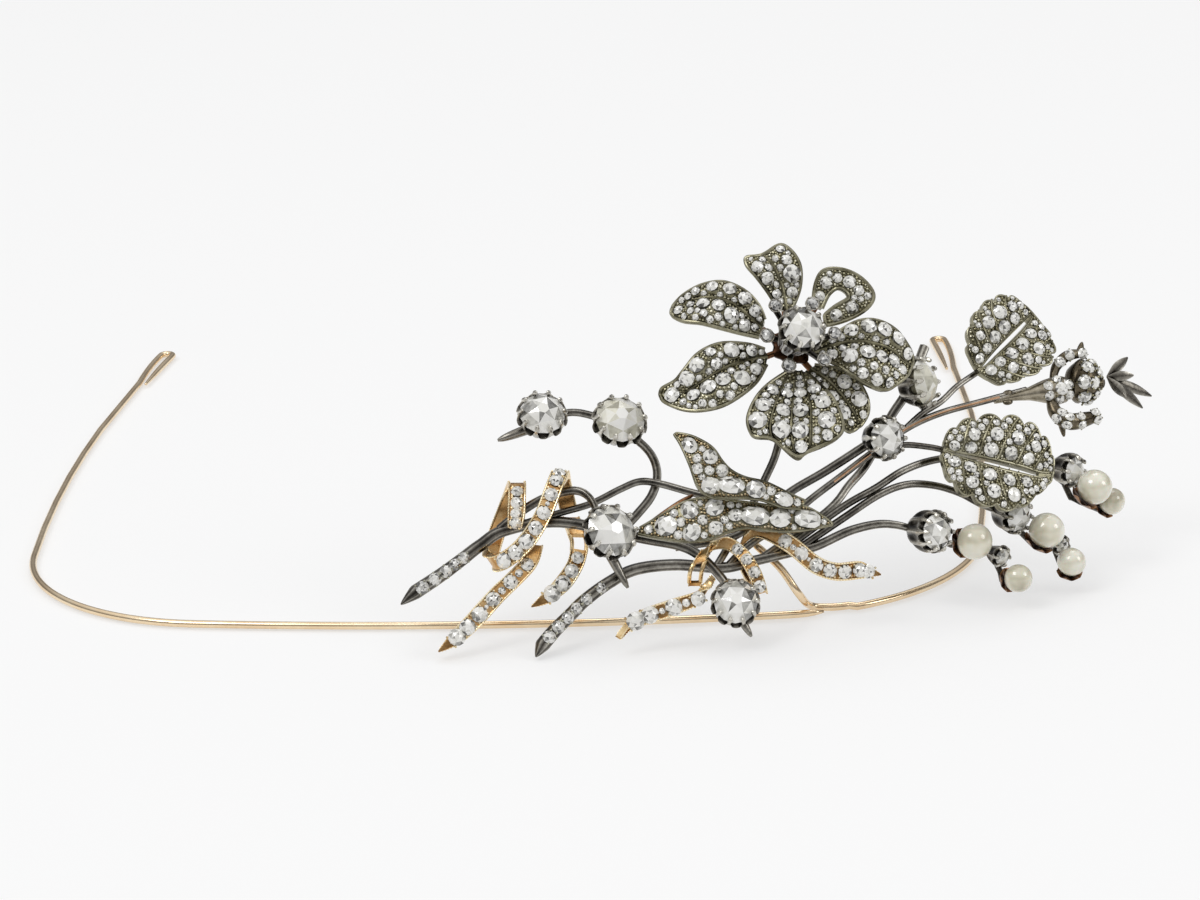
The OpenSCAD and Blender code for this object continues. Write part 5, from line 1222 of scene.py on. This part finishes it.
def run_of(places, t, reach):
    return unit(on(places, t + reach) - on(places, t - reach))


def set_round(stones, grain_shape, places, radius, t, turn, d):
    """A stone on the front of a round bar, turned round its run."""
    run = run_of(places, t, 0.02)
    front = front_of(run)
    n = unit(front * cosd(turn) + np.cross(run, front) * sind(turn))
    place = on(places, t) + n * radius
    gem(stones, place - n * 0.1, n, d, rng.uniform(0.95, 1.1))
    grains(grain_shape, place - n * 0.24, n, d, 4, 0.14, 0.35)


def trumpet_r(t):
    return np.interp(t, [0, 0.2, 0.4, 0.6, 0.8, 0.93, 1], [0.46, 0.58, 0.95, 1.65, 2.1, 1.85, 0.9])


def lobe_r(t, least, most):
    return least + (most - least) * np.sin(math.pi * np.clip(t * 0.62 + 0.1, 0, 1)) ** 1.5


def make_calyx(stones, grain_shape):
    """The trumpet behind the berry, the lobes beside it, their prongs and two scrolls."""
    shape, share = Shape(), np.linspace(0, 1, 60)
    tube(shape, on(TRUMPET, share), trumpet_r(share), 32, 0.6)
    for t, turn, d in TRUMPET_STONES:
        set_round(stones, grain_shape, TRUMPET, trumpet_r(t), t, turn, d)
    closing = np.sqrt(np.clip(1 - share**8, 0.04, 1))
    for places, least, most, number, sides, d in BUD_LOBES:
        tube(shape, on(places, share), lobe_r(share, least, most) * closing, 20, 0.3)
        for k in range(number):
            t = 0.42 + 0.48 * k / (number - 1)
            for turn in sides:
                set_round(stones, grain_shape, places, lobe_r(t, least, most), t, turn, d)
    w = np.linspace(0, 1, 14)
    for first, second in BUD_PRONGS:
        tube(shape, bowed(at(first), at(second), w), 0.62 * np.sqrt(1 - 0.95 * w**1.6), 12, 0.4)
    w = np.linspace(-1, 1, 14)
    for first, second in STEM_SCROLLS:
        middle, reach = (at(first) + at(second)) / 2, (at(second) - at(first)) / 2
        tube(shape, middle + np.outer(w, reach * 1.3), 0.42 * np.sqrt(1 - 0.96 * w**2), 12, 0.45)
    piece("bud_calyx_shell", shape, BUD_SILVER, "bud_calyx")


def make_berry(stones, grain_shape):
    shape, berry = Shape(), at(BERRY_PLACE)
    turned(shape, berry, BUD_FACING, [(r, z * BERRY_R) for r, z in BERRY_PROFILE], 36, 0.25)
    for rise, number, offset, size in BERRY_STONES:
        for out in around(BUD_FACING, math.tau * (np.arange(number) + offset) / number):
            n, d = unit(BUD_FACING * sind(rise) + cosd(rise) * out), size * UNIT
            place = berry + n * BERRY_R
            gem(stones, place - n * 0.12, n, d, rng.uniform(0.95, 1.1))
            grains(grain_shape, place - n * 0.06, n, d, 6, 0.17, 0.4)
    piece("bud_berry_set", shape, BUD_SILVER, "bud_berry")


def make_leaflets():
    shape, w = Shape(), np.linspace(0, 1, 26)
    wide = 0.1 + 0.72 * np.sin(math.pi * w**1.25) ** 0.9 * (1 - 0.25 * w)
    for tip in BUD_LEAVES:
        start, end = at(BUD_END), at(tip)
        path, run = bowed(start, end, w, 0.3), unit(end - start)
        front = front_of(run)
        side = np.cross(run, front)
        rings = [path + np.outer(wide * x, side) + np.outer(np.minimum(wide, 0.5) * z, front)
                 for x, z, _ in LEAFLET_SECTION]
        loft(shape, np.stack(rings, axis=1), np.tile([tone for _, _, tone in LEAFLET_SECTION], 26))
    piece("bud_leaflets", shape, DARK_SILVER, "bud_tip")


def make_bud():
    stones, grain_shape = Shape(), Shape()
    make_calyx(stones, grain_shape)
    make_berry(stones, grain_shape)
    piece("bud_grains", grain_shape, GRAIN_SILVER, "bud_berry")
    stones_piece("bud_pave", stones, "bud_stones")
    make_leaflets()


def make_stem_stones():
    shape, stones = Shape(), Shape()
    for places, last, number, start, step in (
            (TRUNK, STEM_D * 1.1, 5, 0.033, 0.05), (STEM_LOW, STEM_D, 6, 0.034, 0.045)):
        for k in range(number):
            t, d = start + step * k, (1.75 - 0.06 * k) * UNIT
            n = front_of(run_of(places, t, 0.01))
            place = on(places, t) + n * ((TRUNK_D + (last - TRUNK_D) * t) / 2 + 0.04)
            gem(stones, place, n, d)
            grains(shape, place, n, d, 4, 0.16)
    piece("stem_beads", shape, SILVER, "stem_stones")
    stones_piece("stem_stones_cut", stones, "stem_stones", STEM_DIAMOND)


def make_wires():
    for name, path in (("wire_left", LEFT_PATH), ("wire_right", RIGHT_PATH)):
        shape = Shape()
        radius = np.full(len(path), WIRE_D / 2)
        radius[:6] *= [0.45, 0.62, 0.76, 0.87, 0.94, 0.98]
        radius[-3:] *= [0.95, 0.75, 0.35]
        tube(shape, path, radius, 16, 0.55)
        bead(shape, path[0], unit(path[0] - path[1]), WIRE_D * 0.22, 12, 0.55)
        piece(name + "_round", shape, GOLD, name, 80)


make_wires()
make_stems()
make_stem_stones()
make_petals()
make_leaves()
make_curls()
make_ribbons()
make_flower_centre()
make_bud()
make_pearls()
for index, setting in enumerate(SETTINGS, 1):
    large_stone(f"stone_{index}", setting, OLD_DIAMOND if index in (2, 6) else DIAMOND)

# Floor, light and camera
FLOOR_SIDE, FLOOR_DROP = 6.0, -0.0002
VIEW_TARGET, VIEW_AWAY, LENS = vec(11.7, 78, 0), 0.62, 116.7


def make_floor():
    mesh = bpy.data.meshes.new("floor")
    e = FLOOR_SIDE / 2
    corners = [(x, y, FLOOR_DROP) for x, y in ((-e, -e), (e, -e), (e, e), (-e, e))]
    mesh.from_pydata(corners, [], [[0, 1, 2, 3]])
    mesh.materials.append(principled(
        "floor", Base_Color=(0.4, 0.4, 0.4, 1), Roughness=0.9, Specular_IOR_Level=0.0,
        Emission_Color=(1, 1, 1, 1), Emission_Strength=0.54)[0])
    new_object("floor", mesh)


def area_light(name, place, size, watts):
    """A round light that looks at the origin."""
    data = bpy.data.lights.new(name, "AREA")
    data.shape, data.size, data.energy = "DISK", size, watts
    made = new_object(name, data)
    made.location = place
    made.rotation_mode = "QUATERNION"
    made.rotation_quaternion = (-Vector(place)).to_track_quat("-Z", "Y")


def make_world():
    world = bpy.data.worlds.new("studio")
    world.use_nodes = True
    tree = world.node_tree
    split = node(tree, "ShaderNodeSeparateXYZ")
    tree.links.new(node(tree, "ShaderNodeTexCoord").outputs["Generated"], split.inputs[0])
    background = tree.nodes["Background"]
    background.inputs["Strength"].default_value = 0.95
    ramp(tree, split.outputs["Z"], [
        (0.0, (0.5, 0.5, 0.5)), (0.25, (0.16, 0.16, 0.165)), (0.5, (0.55, 0.55, 0.56)), (0.8, (1, 1, 1))],
        background.inputs["Color"])
    bpy.context.scene.world = world


def make_camera():
    place = (VIEW_TARGET - MIDDLE) * MM + OUT * VIEW_AWAY
    data = bpy.data.cameras.new("camera")
    data.sensor_width, data.lens = 36.0, LENS
    data.clip_start, data.clip_end = 0.01, 20
    made = new_object("camera", data)
    made.matrix_world = Matrix([[RIGHT[k], UP[k], OUT[k], place[k]] for k in range(3)] + [[0, 0, 0, 1]])
    bpy.context.scene.camera = made


make_floor()
make_world()
make_camera()
area_light("key", (-0.5, -0.5, 0.9), 0.5, 2.6)
area_light("fill", (0.8, -0.3, 0.5), 0.4, 1.2)
area_light("top", (0.1, 0.5, 1.1), 0.6, 1.4)
bpy.context.scene.view_settings.view_transform = "Standard"
